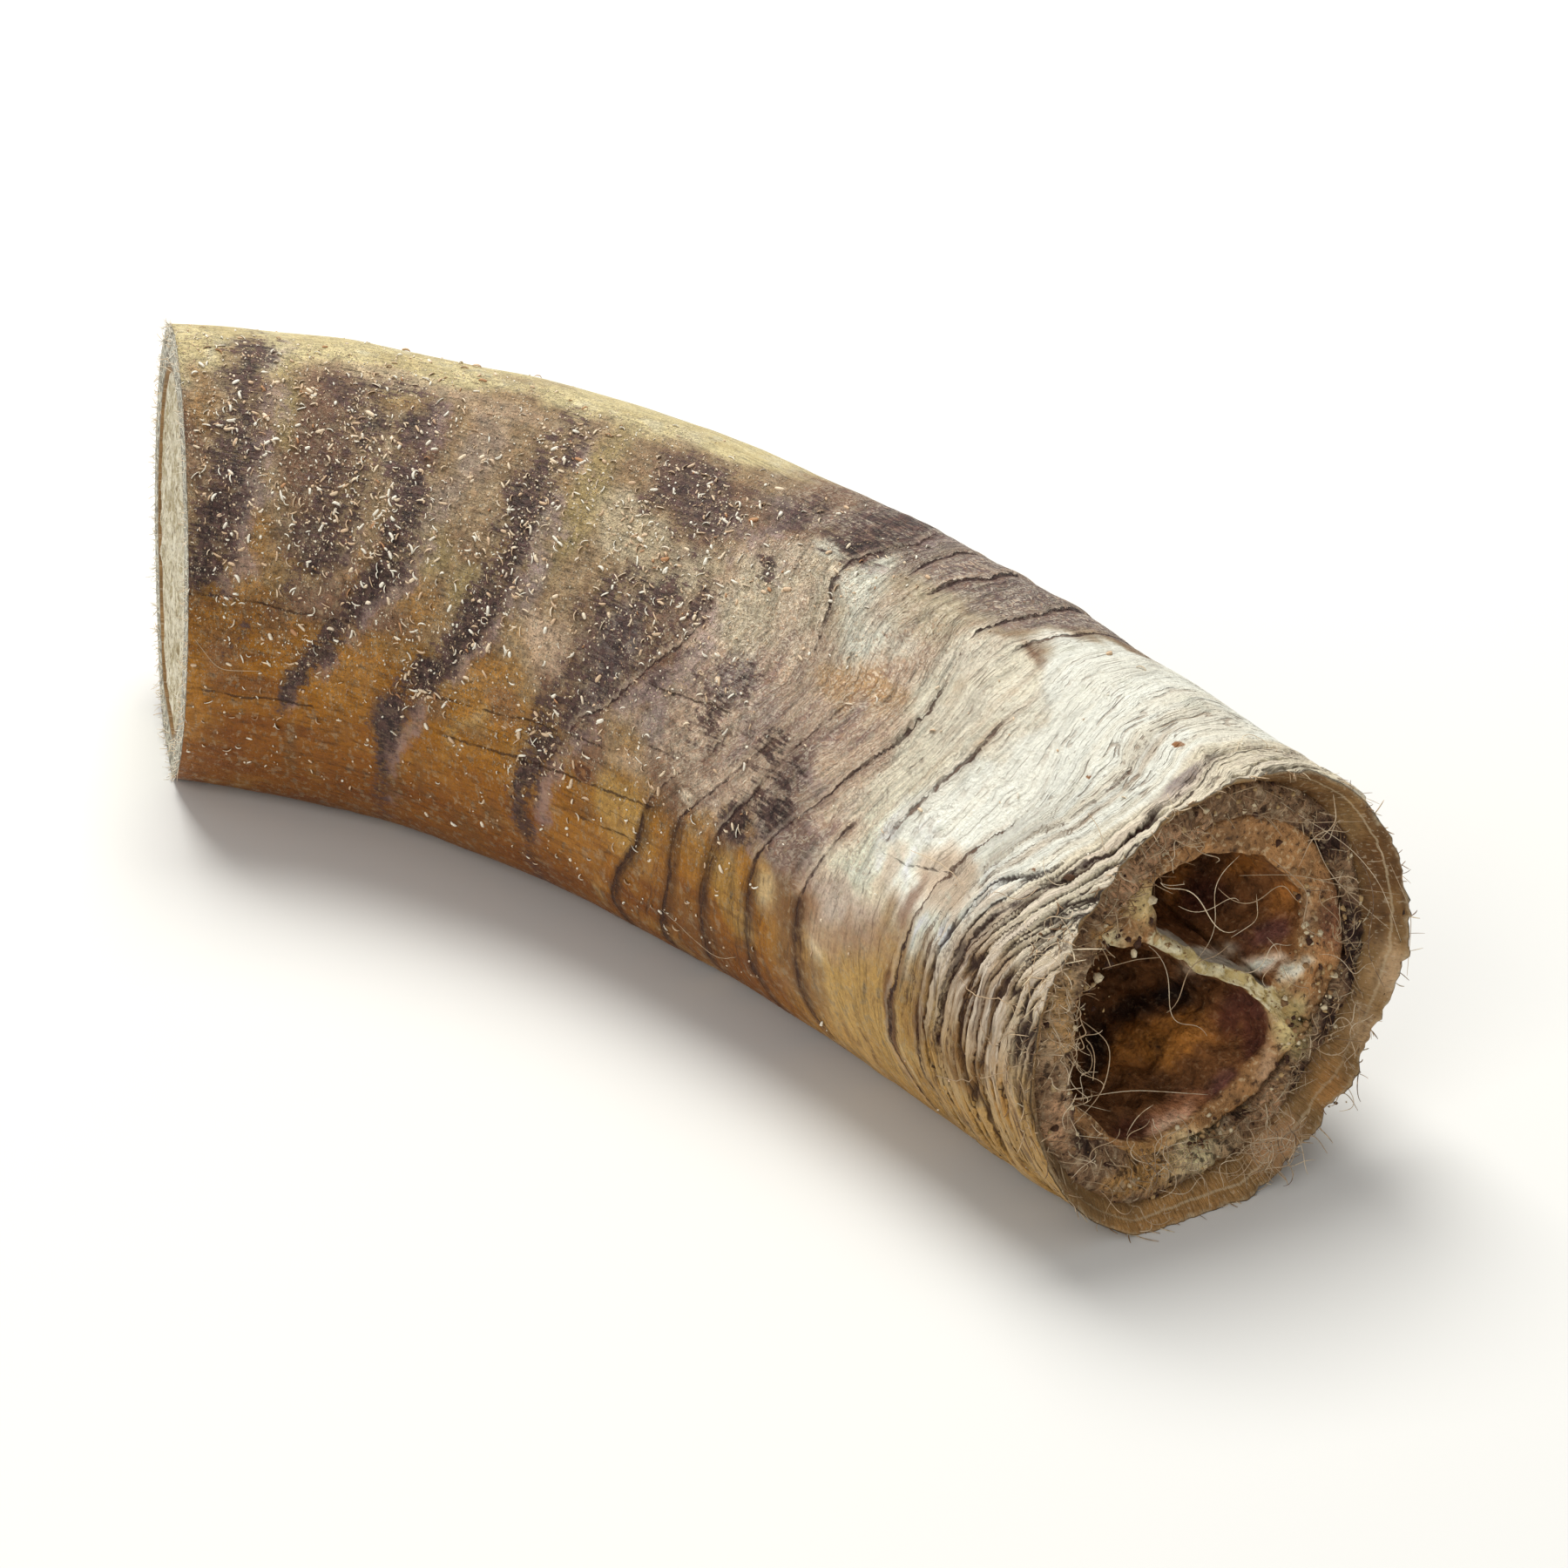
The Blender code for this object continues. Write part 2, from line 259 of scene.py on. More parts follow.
def gridFaces(rows, columns, closed):
    # the four corners of each cell of a grid that runs round in its columns, and in its rows if closed
    row = np.arange(rows if closed else rows - 1)[:, None]
    column = np.arange(columns)[None, :]
    right = (column + 1) % columns
    ahead = (row + 1) % rows
    corners = [row * columns + column, row * columns + right, ahead * columns + right, ahead * columns + column]
    return np.stack(corners, axis=-1).reshape(-1, 4)


def paint(piece, name, values):
    # one number, three or four for each vertex, for the material to read
    kind = {1: ("FLOAT", "value"), 3: ("FLOAT_VECTOR", "vector"), 4: ("FLOAT_COLOR", "color")}[values.shape[-1]]
    layer = piece.data.attributes.new(name, kind[0], "POINT")
    layer.data.foreach_set(kind[1], values.astype(np.float32).ravel())


def shade(red, green, blue):
    # a screen colour, 0 to 255, as the linear light that a shader takes
    value = np.array([red, green, blue]) / 255.0
    return tuple(np.where(value > 0.04045, ((value + 0.055) / 1.055) ** 2.4, value / 12.92)) + (1.0,)


class Finish:
    # a material and short ways to add nodes to it

    def __init__(self, name, roughness, specular=0.4):
        self.material = bpy.data.materials.new(name)
        self.material.use_nodes = True
        self.tree = self.material.node_tree
        self.shader = self.tree.nodes["Principled BSDF"]
        self.shader.inputs["Roughness"].default_value = roughness
        self.shader.inputs["Specular IOR Level"].default_value = specular

    def node(self, kind, values=(), **settings):
        made = self.tree.nodes.new(kind)
        for name, value in settings.items():
            setattr(made, name, value)
        for socket, value in zip(made.inputs, values):
            if value is None:
                continue
            if isinstance(value, bpy.types.NodeSocket):
                self.tree.links.new(value, socket)
            else:
                socket.default_value = value
        return made

    def math(self, operation, first, second=0.0, clamp=False):
        return self.node("ShaderNodeMath", (first, second), operation=operation, use_clamp=clamp).outputs[0]

    def vector(self, operation, first, second):
        return self.node("ShaderNodeVectorMath", (first, second), operation=operation).outputs[0]

    def read(self, name):
        return self.node("ShaderNodeAttribute", attribute_name=name)

    def channels(self, name):
        layer = self.read(name)
        parts = self.node("ShaderNodeSeparateColor", (layer.outputs["Color"],))
        return [*parts.outputs[:3], layer.outputs["Alpha"]]

    def noise(self, where, scale, detail=3.0, roughness=0.55):
        made = self.node("ShaderNodeTexNoise")
        self.tree.links.new(where, made.inputs["Vector"])
        made.inputs["Scale"].default_value = scale
        made.inputs["Detail"].default_value = detail
        made.inputs["Roughness"].default_value = roughness
        return made.outputs["Fac"]

    def between(self, value, low, high, fromValue=0.0, toValue=1.0):
        made = self.node("ShaderNodeMapRange", (value, low, high, fromValue, toValue))
        made.interpolation_type = "SMOOTHSTEP"
        return made.outputs[0]

    def mix(self, amount, first, second, kind="MIX"):
        made = self.node("ShaderNodeMix", data_type="RGBA", blend_type=kind, clamp_factor=True)
        for socket, value in ((made.inputs[0], amount), (made.inputs[6], first), (made.inputs[7], second)):
            if isinstance(value, bpy.types.NodeSocket):
                self.tree.links.new(value, socket)
            else:
                socket.default_value = value
        return made.outputs[2]

    def scale(self, tone, gain):
        made = self.node("ShaderNodeVectorMath", (tone,), operation="SCALE")
        self.tree.links.new(gain, made.inputs["Scale"])
        return made.outputs[0]

    def bump(self, height, distance, strength=1.0, below=None):
        made = self.node("ShaderNodeBump")
        made.inputs["Strength"].default_value = strength
        made.inputs["Distance"].default_value = distance
        self.tree.links.new(height, made.inputs["Height"])
        if below is not None:
            self.tree.links.new(below, made.inputs["Normal"])
        return made.outputs["Normal"]

    def finish(self, colour, roughness=None, normal=None):
        self.tree.links.new(colour, self.shader.inputs["Base Color"])
        if roughness is not None:
            self.tree.links.new(roughness, self.shader.inputs["Roughness"])
        if normal is not None:
            self.tree.links.new(normal, self.shader.inputs["Normal"])
        return self.material


for item in list(bpy.data.objects):
    if item.name in ("Cube", "Light", "Camera"):
        bpy.data.objects.remove(item, do_unlink=True)

# The keratin sheath

sheath = {
    "around": 312,
    "rows": ((0.0, 20.0, 100), (20.0, 50.0, 90), (50.0, 135.0, 94)),    # from the mouth, to, rows
    "onTop": 10.0,              # rings are numbered by their place from the mouth at this angle
    "arc": 0.367,               # millimetres a degree round the outside
    "grooveHeight": 0.62,        # of the crowded rings by the mouth
    "threadHeight": 0.14,
    "stepHeight": 0.3,
    "stepLength": 3.0,
    "trenchDepth": 0.18,
    # growth lines from the mouth back: angle, distance from the mouth, darkness
    "lines": (
        ((-110, 12, 0.5), (-60, 6, 0.5), (-30, 4.6, 0.3), (-10, 4.2, 0.5), (0, 2.4, 0.7), (8, 1.6, 0.9), (20, 1.1, 1.0),
         (32, 2.1, 1.0), (36, 3.4, 1.0), (45, 5, 1.0), (56, 8, 1.0), (67, 10.5, 1.0), (76, 12.5, 0.9), (89, 13.6, 0.8),
         (101, 14.2, 0.7), (115, 13, 0.5), (140, 12, 0.4), (180, 11, 0.4)),
        ((-110, 16, 0.3), (-60, 12.5, 0.3), (-30, 12, 0.1), (-5, 10, 0.4), (8, 7.6, 0.7), (20, 7.4, 0.7), (31, 8.6, 0.6),
         (40, 10.5, 0.5), (51, 12.4, 0.4), (58, 13.4, 0.6), (67, 15, 0.6), (77, 16.4, 0.5), (90, 17.2, 0.6),
         (110, 17.2, 0.8), (140, 16, 0.5), (180, 14, 0.4)),
        ((-110, 20, 0.5), (-60, 18, 0.5), (-30, 19, 0.0), (0, 16.5, 0.0), (30, 12.6, 0.0), (41, 13.3, 0.9), (50, 15.3, 1.0),
         (60, 17.2, 1.0), (67, 18.3, 0.9), (77, 19.6, 0.9), (92, 20.4, 0.9), (101, 21.7, 1.0), (110, 22.2, 1.0),
         (116, 21.2, 0.9), (140, 19, 0.5), (180, 17, 0.4)),
        ((-110, 27, 0.6), (-60, 24, 0.8), (-30, 24.4, 0.5), (-10, 23.5, 0.1), (5, 22, 0.3), (31, 22.2, 0.9), (36, 22.8, 0.9),
         (45, 24, 1.0), (57, 26, 0.9), (67, 27, 0.4), (80, 27.5, 0.3), (92, 28, 0.3), (110, 28, 0.4), (140, 26, 0.4),
         (180, 22, 0.4)),
        ((-110, 33, 0.7), (-60, 29, 1.0), (-30, 27.7, 1.0), (-20, 27.5, 1.0), (-11, 28, 0.9), (-5, 28.5, 0.7), (2, 28.3, 0.1),
         (20, 26.6, 0.3), (35, 27, 0.4), (50, 29, 0.4), (60, 30.5, 0.5), (69, 32.5, 0.7), (80, 34.8, 0.8), (90, 36.4, 0.8),
         (101, 37, 0.7), (115, 37.3, 0.7), (150, 34, 0.5), (180, 30, 0.4)),
        ((-110, 39, 0.8), (-60, 34.5, 1.0), (-30, 33, 1.0), (-22, 31.8, 1.0), (-14, 31.8, 1.0), (-2, 33.2, 1.0), (4, 32.7, 0.5),
         (12, 31.2, 0.6), (20, 30.2, 0.9), (27, 29.8, 1.1), (33, 30.5, 1.0), (40, 31.3, 0.9), (49, 33.5, 0.9), (57, 35.5, 0.9),
         (66, 37.6, 0.9), (72, 39.6, 0.7), (80, 42, 0.6), (86, 43.6, 0.9), (95, 44.2, 1.0), (105, 45, 1.0), (120, 45.5, 0.9),
         (150, 43, 0.6), (180, 39, 0.5)),
        ((-110, 48, 0.8), (-60, 42, 1.0), (-30, 40.2, 1.0), (-22, 39, 1.0), (-10, 40, 1.0), (-3, 40.3, 0.9), (0, 40.7, 0.3),
         (12, 40.5, 0.4), (25, 40, 0.4), (31, 39.5, 0.4), (42, 40.3, 0.7), (49, 41.5, 0.7), (55, 43, 0.7), (74, 46.6, 0.9),
         (86, 50, 1.0), (100, 52, 1.0), (112, 53, 1.0), (130, 55, 0.9), (150, 53, 0.6), (180, 48, 0.5)),
        ((-110, 54, 0.7), (-60, 48, 1.0), (-30, 45, 1.0), (-20, 44.3, 1.1), (-10, 44, 1.0), (-5, 44.2, 0.8), (0, 44.3, 0.2),
         (20, 43.5, 0.1), (35, 43, 0.1), (50, 44.6, 0.4), (62, 47.5, 0.6), (72, 50.3, 0.7), (80, 53, 0.9), (89, 56.3, 1.0),
         (96, 57.2, 1.0), (107, 58, 1.0), (117, 59.5, 1.0), (132, 62, 0.8), (150, 60, 0.6), (180, 55, 0.4)),
        ((-110, 62, 0.5), (-60, 55, 0.6), (-30, 49.5, 0.6), (-17, 47.6, 0.7), (-11, 48.5, 0.8), (0, 50.5, 0.8), (8, 50.4, 0.9),
         (15, 48.8, 0.9), (22, 47.5, 0.6), (30, 46, 0.4), (41, 46.6, 0.5), (55, 50, 0.6), (70, 54, 0.6), (75, 56, 0.6),
         (85, 60.3, 0.7), (92, 62, 0.9), (102, 63, 0.9), (112, 66, 1.0), (126, 69, 1.0), (150, 69, 0.6), (180, 64, 0.4)),
        ((-110, 74, 0.3), (-60, 68, 0.1), (-8, 62, 0.0), (20, 62.5, 0.3), (37, 62, 0.8), (45, 63, 1.0), (54, 65.5, 1.0),
         (62, 68, 1.0), (70, 70.3, 0.9), (77, 74.5, 0.9), (90, 78, 0.6), (95, 81, 0.4), (110, 82, 0.5), (125, 82.5, 0.4),
         (150, 80, 0.1), (180, 76, 0.0)),
    ),
    # cracks along the horn, from the top down the near side: distance from the mouth, angle, darkness
    "cracks": (
        ((0, -20, 0.0), (88, -6, 0.0), (90, -6, 0.5), (98, -2, 0.0), (110, -2, 0.0), (112, -2.2, 0.7), (119, -2, 0.6),
         (121, 2, 0.3), (124, 4, 0.6), (129, 7.5, 0.5), (133, 9, 0.0)),
        ((12, 58, 0.0), (14, 59, 0.5), (18, 62, 0.65), (23, 66, 0.55), (28, 67, 0.4), (30, 66, 0.0), (51, 56, 0.0), (53, 56, 0.9),
         (66, 60, 0.8), (68, 61, 0.0), (135, 60, 0.0)),
        ((0, 76, 0.0), (55, 74, 0.0), (57, 74, 0.5), (66, 76, 0.5), (68, 82, 0.7), (83, 84.5, 0.8), (85, 86, 0.6), (98, 88.5, 0.9),
         (100, 88, 0.0), (110, 76, 0.0), (111, 74, 0.8), (120, 75.5, 0.9), (128, 74, 0.6), (135, 75, 0.8)),
        ((0, 96, 0.0), (60, 91, 0.0), (61, 91, 0.8), (72, 94, 0.9), (80, 95.5, 1.0), (90, 97.5, 0.9), (98, 98.5, 0.5),
         (100, 98, 0.0), (115, 102, 0.0), (116, 102, 0.8), (126, 104, 0.9), (135, 104, 0.6)),
        ((0, 108, 0.0), (62, 102, 0.0), (63, 102, 0.7), (75, 104.5, 0.6), (77, 105, 0.0), (135, 116, 0.0)),
    ),
    # stripes: angle, distance from the mouth, half width, darkness
    "stripes": (
        ((-75, 131, 3, 0.5), (-45, 129, 2.5, 0.4), (-24, 127, 2.5, 0.12), (-12, 126.5, 2.5, 0.4), (-5, 126.5, 2.7, 0.6),
         (8, 127.2, 3.2, 0.65), (22, 128.2, 3.1, 0.85), (38, 129.4, 3.2, 1.1), (54, 131.5, 3.3, 1.1), (67, 132.5, 3.4, 1.0),
         (74, 133.3, 3, 0.6), (80, 134, 2, 0.0)),
        ((-8, 113, 7, 0.0), (2, 112.5, 7, 0.45), (15, 113, 6.5, 0.65), (30, 113.5, 7, 0.5), (40, 114.5, 6, 0.45),
         (55, 117, 5, 0.7), (63, 118, 4.5, 0.4), (78, 123, 4, 0.2), (100, 127, 3, 0.0)),
        ((76, 124.5, 0.8, 0.0), (80, 125.3, 0.9, 0.6), (92, 129.5, 0.9, 0.6), (96, 131, 0.8, 0.0)),
        ((-8, 107.5, 3, 0.0), (2, 107, 3, 0.35), (10, 107, 3, 0.75), (20, 106.5, 3.2, 0.6), (35, 104.4, 2.8, 0.9),
         (47, 105, 2.7, 1.1), (58, 106.6, 2.6, 1.15), (66, 109.5, 2.4, 1.0), (75, 112.7, 2.4, 1.0), (88, 116.3, 2.2, 1.0),
         (97, 118.8, 1.5, 1.0), (105, 120, 1.2, 0.9), (110, 120.7, 1, 0.0)),
        ((-12, 88, 2.5, 0.0), (-4, 88.3, 2.6, 0.6), (10, 89, 2.8, 0.8), (25, 89.3, 3.0, 1.1), (40, 89.3, 2.9, 0.95),
         (50, 90, 2.7, 1.1), (62, 92.3, 2.4, 1.0), (72, 95, 2.3, 1.2), (79, 97, 2.5, 1.5), (87, 100.3, 2.0, 1.2),
         (95, 103, 2.8, 1.2), (104, 104.3, 2.2, 1.0), (112, 105, 1.6, 0.6), (135, 106, 1.6, 0.35), (180, 107, 1.6, 0.0)),
        ((-16, 70, 6, 0.0), (-6, 70.5, 7, 0.6), (4, 70, 6.5, 0.75), (14, 70, 6, 0.4), (24, 68, 5, 0.15), (36, 69, 6, 0.5),
         (45, 70.5, 7.5, 0.85), (56, 71.5, 6.5, 0.85), (68, 74.5, 4.5, 0.9), (78, 77, 3.6, 0.9), (90, 79.8, 2.6, 0.8),
         (102, 81.5, 2.2, 0.9), (112, 82, 2, 0.9), (124, 82, 1.7, 0.6), (140, 82, 1.6, 0.25), (180, 84, 1.6, 0.0)),
        ((18, 64, 1.8, 0.0), (26, 63.5, 1.8, 0.6), (36, 62.8, 1.5, 0.9), (44, 63.6, 1, 0.5), (50, 64, 1, 0.0)),
        ((46, 46, 5, 0.0), (60, 44.5, 4.5, 0.5), (72, 43.5, 4, 0.65), (82, 47.5, 3, 0.8), (90, 49, 2, 0.0)),
        ((34, 55, 4, 0.0), (48, 55, 5, 0.4), (60, 55, 4, 0.45), (72, 57, 3, 0.3), (85, 58, 3, 0.0)),
        ((-75, 58, 4, 0.3), (-40, 54, 4, 0.6), (-12, 51, 4, 1.0), (-4, 52, 3.5, 0.9), (3, 53, 2.5, 0.3), (8, 54, 2, 0.0)),
        ((-20, 61, 3, 0.0), (-10, 60, 3, 0.6), (-2, 60, 3, 0.4), (4, 60, 3, 0.0)),
        ((8, 57.5, 1.2, 0.0), (12, 57.8, 1.2, 0.8), (19, 57, 1, 0.7), (23, 56.5, 1, 0.0)),
    ),
    # soft patches: distance from the mouth, angle, half length and half width, slant, strength, tone
    "patches": (
        (46, 10, 15, 8.5, 0, 0.85, "paleOlive"), (58, 68, 9, 5, 0.2, 0.4, "rose"), (18, 8, 9, 10, 0, 0.35, "cream"),
        (111, -2, 8, 1.6, 0, 0.5, "pinkDust"), (96, 0, 6, 1.4, 0, 0.4, "pinkDust"), (127, 0, 2.5, 4, 0, 0.35, "redBrown"),
        (122, 18, 2.2, 5, 0, 0.85, "olive"), (124.2, 38, 2, 4.5, 0.2, 0.8, "tan"), (125.8, 60, 2.3, 5, 0.2, 0.85, "gold"),
        (133, 20, 2.5, 4, 0, 0.5, "gold"), (117, 8, 4, 3.5, 0, 0.5, "redBrown"), (117, 28, 4, 4.5, 0, 0.45, "redBrown"),
        (118, 53, 4, 3.5, 0.1, 0.6, "dusk"), (112, 42, 2.5, 3, 0, 0.5, "tan"), (111, 60, 2.6, 3, 0.2, 0.7, "gold"),
        (100.5, 36, 2.5, 4.5, 0.2, 0.45, "lilac"), (99, 47, 3, 4, 0.2, 0.6, "olive"), (101, 64, 3.5, 4, 0.5, 0.8, "gold"),
        (108, 84, 5, 3.5, 0.6, 0.7, "honey"), (97, 14, 3, 4, 0, 0.45, "lilac"), (95.5, 34, 2.6, 4, 0, 0.6, "tan"),
        (95, 54, 2.4, 3.5, 0.2, 0.7, "olive"), (85.3, 47, 1.6, 4.5, 0.15, 0.7, "lilac"), (83.6, 58, 2, 2.6, 0, 0.6, "pinkDust"),
        (89, 78, 5, 3.5, 0.3, 0.7, "honey"), (86, 84, 4, 2, 0, 0.45, "redBrown"), (130, 90, 5, 4.5, 0.2, 0.55, "redBrown"), (122, 80, 4, 3, 0.3, 0.5, "redBrown"),
        (121, 87, 4, 2.5, 0, 0.4, "honey"), (97, 80, 2.6, 1.5, 0.9, 1.0, "maroon"), (103.5, 97, 2.6, 2.4, 0.3, 0.75, "plum"),
        (119.3, 98, 1.1, 3, 0.3, 0.7, "plum"), (129, 120, 4, 2.5, 0, 0.5, "darkAmber"), (119, 118, 1.2, 4, 0, 0.6, "brown"),
        (104, 119, 2.4, 4.5, 0, 0.55, "brown"), (99, 114, 1.2, 3, 0, 0.4, "brown"), (92, 124, 3, 2.5, 0, 0.5, "brown"),
        (87.5, 118, 2, 2, 0, 0.5, "brown"), (134, 105, 2, 6, 0, 0.5, "honey"), (82.6, 20, 2.4, 9, 0, 0.75, "olive"),
        (81, 46, 2.4, 5, 0.1, 0.6, "tan"), (80, 62, 4, 4, 0, 0.7, "pinkDust"), (72, -1, 6, 3.2, 0, 0.6, "dusk"),
        (68, 8, 5, 3, 0, 0.5, "violet"), (75, 21, 5, 4, 0, 0.75, "paleOlive"), (67, 24, 5, 4, 0, 0.7, "paleOlive"),
        (63, 34, 1.4, 3, 0, 0.7, "redBrown"), (71, 52, 4.2, 5, 0.15, 0.85, "violet"), (75.5, 57, 2, 5, 0, 0.6, "dusk"),
        (73, 72, 2.4, 3.4, 0.4, 0.75, "violet"), (56.5, 26, 4.5, 5.5, 0, 0.85, "paleOlive"), (60.5, -5, 5, 2.6, 0, 0.5, "violet"),
        (52, -7, 3.6, 2.6, 0, 0.85, "dusk"), (54, -1, 2.6, 1.6, 0, 0.8, "ice"), (47.4, 3, 4.0, 5.0, 0, 1.0, "ice"),
        (52, 20, 1.6, 3.5, 0, 0.7, "blush"), (47, 28, 2.6, 3.6, 0, 0.75, "blush"), (42, 17, 5.0, 4.6, 0, 1.0, "ice"),
        (43, 8, 1.8, 4, 0, 0.5, "pinkDust"), (41.5, 33, 4.0, 2.2, 0, 0.9, "ochre"), (54, 48, 2.6, 2.6, 0.3, 0.65, "violet"),
        (49, 52, 2, 3, 0.3, 0.5, "lilac"), (63, 66, 3, 3.6, 0.2, 0.65, "violet"), (58, 62, 3, 2.6, 0, 0.45, "pinkDust"),
        (54, 72, 2.5, 2.5, 0.4, 0.5, "redBrown"), (48, 83, 2.6, 3, 0.2, 0.85, "dusk"), (43.5, 77, 2, 3, 0.3, 0.65, "violet"),
        (65.5, 82, 3.4, 1.4, 0, 0.55, "pinkDust"), (56, 83, 1.2, 0.8, 0, 0.95, "flake"), (67, 97, 6, 4, 0, 0.7, "straw"),
        (48, 99, 3, 4, 0, 0.6, "straw"), (59, 100, 3, 4, 0, 0.3, "honey"), (72, 110, 6, 5, 0, 0.5, "honey"),
        (54, 118, 5, 4, 0, 0.5, "brown"), (42, 94, 2.2, 3, 0, 0.6, "paleOlive"), (37.5, 4, 4.5, 4.5, 0, 0.75, "paleOlive"),
        (38, 14, 3.5, 2.4, 0, 0.8, "creamShade"), (37, 27, 5.0, 2.8, 0, 1.0, "ochre"), (33, 33, 3, 1.6, 0, 0.5, "blush"),
        (30.5, 8, 4.5, 5, 0, 0.8, "creamShade"), (26, 20, 5, 6, 0, 0.7, "creamShade"), (38.5, 55, 2, 1.8, 0, 0.7, "blush"),
        (42, 63, 2.6, 4, 0.2, 0.6, "dusk"), (39.5, 79, 4, 3.2, 0.3, 0.75, "dusk"), (32, 58, 2.5, 3.4, 0.3, 0.5, "lined"),
        (29, 76, 5.5, 3.8, 0.3, 0.8, "lined"), (27, 108, 6.5, 6, 0, 0.8, "straw"), (17.5, 64, 6, 4.5, 0.3, 0.8, "blush"), (30, 88, 6, 3.5, 0.4, 0.5, "roseShade"), (38.5, 101, 2.4, 5, 0, 0.6, "brown"),
        (37, 113, 4.5, 3.5, 0, 0.5, "brown"), (33.5, 104, 1.4, 1.4, 0, 0.4, "brown"), (22, 55, 3.5, 1.6, 0.4, 0.4, "cream"),
        (16.6, 99, 1.1, 1.9, 0, 0.8, "brown"), (21.6, 104, 0.9, 4.2, 0, 0.85, "brown"), (10, 95, 4, 5, 0, 0.5, "deepBrown"),
        (5, 101, 2, 5, 0, 0.5, "honey"), (9, 84, 5, 4.5, 0, 0.7, "brown"), (10, 74, 5, 2.5, 0, 0.5, "lineBrown"), (2.8, 3, 0.9, 4.5, -0.25, 0.75, "violet"),
        (10, -24, 5, 4, 0, 0.6, "creamShade"), (24.5, 68, 1.6, 3.6, 0.3, 0.55, "blush"), (20.5, 72, 1.2, 3, 0.2, 0.6, "redBrown"),
    ),
    "backStripes": (127.0, 111.0, 95.0, 79.0, 64.0),    # plain ones on the far side
    "keelEdge": ((0, -40), (52, -34), (60, -22), (68, -14), (80, -7), (88, -6), (95, -2), (112, 0), (124, 0), (130, 6), (135, 12)),
    "creamEdge": ((-180, 20), (-60, 22), (-30, 24.3), (-5, 28), (5, 24), (15, 21), (30, 21.5), (45, 24), (57, 26), (65, 29),
                  (90, 32), (180, 24)),
    "spots": (                  # distance from the mouth, angle, half lengths, kind: 1 knot, 0.5 stain
        (72.7, 91.5, 1.8, 1.0, 1.0), (7.3, -7.0, 0.55, 0.8, 0.5), (8.2, 47.0, 0.3, 0.3, 0.5), (10.0, 17.0, 0.35, 0.3, 0.5),
    ),
    "lip": ((0.0, 0.0), (0.12, 0.05), (0.3, 0.02), (0.55, -0.2), (0.85, -0.6), (1.2, -1.15), (1.6, -1.75),
            (2.0, -2.3), (2.4, -2.8), (2.8, -3.3), (3.1, -3.9)),    # depth, and place along the horn
}


tones = {
    "body": (160, 132, 96), "tan": (168, 142, 108), "umber": (128, 96, 72), "keel": (224, 208, 156), "keelShade": (204, 184, 130),
    "amber": (146, 94, 16), "honey": (166, 116, 50), "darkAmber": (98, 50, 0), "rose": (208, 180, 154), "roseShade": (158, 130, 118),
    "low": (166, 128, 70), "wood": (128, 110, 104), "woodShade": (102, 84, 80), "cream": (252, 252, 238), "creamShade": (242, 234, 212),
    "lined": (248, 240, 214), "olive": (170, 150, 98), "paleOlive": (208, 194, 162), "gold": (168, 124, 68), "redBrown": (122, 86, 68),
    "dusk": (98, 76, 70), "violet": (132, 118, 118), "lilac": (162, 146, 142), "plum": (86, 60, 58), "maroon": (62, 32, 34),
    "ice": (242, 242, 222), "blush": (218, 192, 164), "ochre": (208, 166, 118), "straw": (176, 142, 82), "brown": (100, 68, 36),
    "pinkDust": (204, 176, 150), "flake": (238, 220, 194), "deepBrown": (84, 54, 30), "lineBrown": (186, 158, 128),
    # inside the mouth
    "paintedShadow": (36, 22, 14), "floor": (180, 120, 54), "darkFloor": (104, 68, 38), "bay": (82, 46, 34), "plumBay": (98, 62, 56),
    "salmon": (152, 104, 72), "pinkWhite": (224, 182, 152), "orange": (152, 98, 44), "grey": (190, 176, 158),
    "greyWhite": (236, 224, 208), "boneFace": (174, 128, 82), "bonePink": (214, 172, 132), "boneWhite": (246, 238, 216),
    "boneOlive": (214, 192, 136), "boneCream": (244, 230, 184), "boneRed": (148, 98, 68), "boneOrange": (184, 134, 86),
    "crust": (164, 130, 98), "crustPink": (226, 178, 136), "crustDark": (66, 44, 38), "crustGrey": (132, 108, 78),
    "crustGold": (216, 164, 96), "crustPale": (226, 196, 158), "boneBright": (255, 232, 182), "funnel": (152, 118, 74),
    "funnelDark": (108, 74, 40), "funnelPink": (206, 172, 132),
    "funnelAmber": (176, 126, 70), "funnelGrey": (184, 138, 82),
}


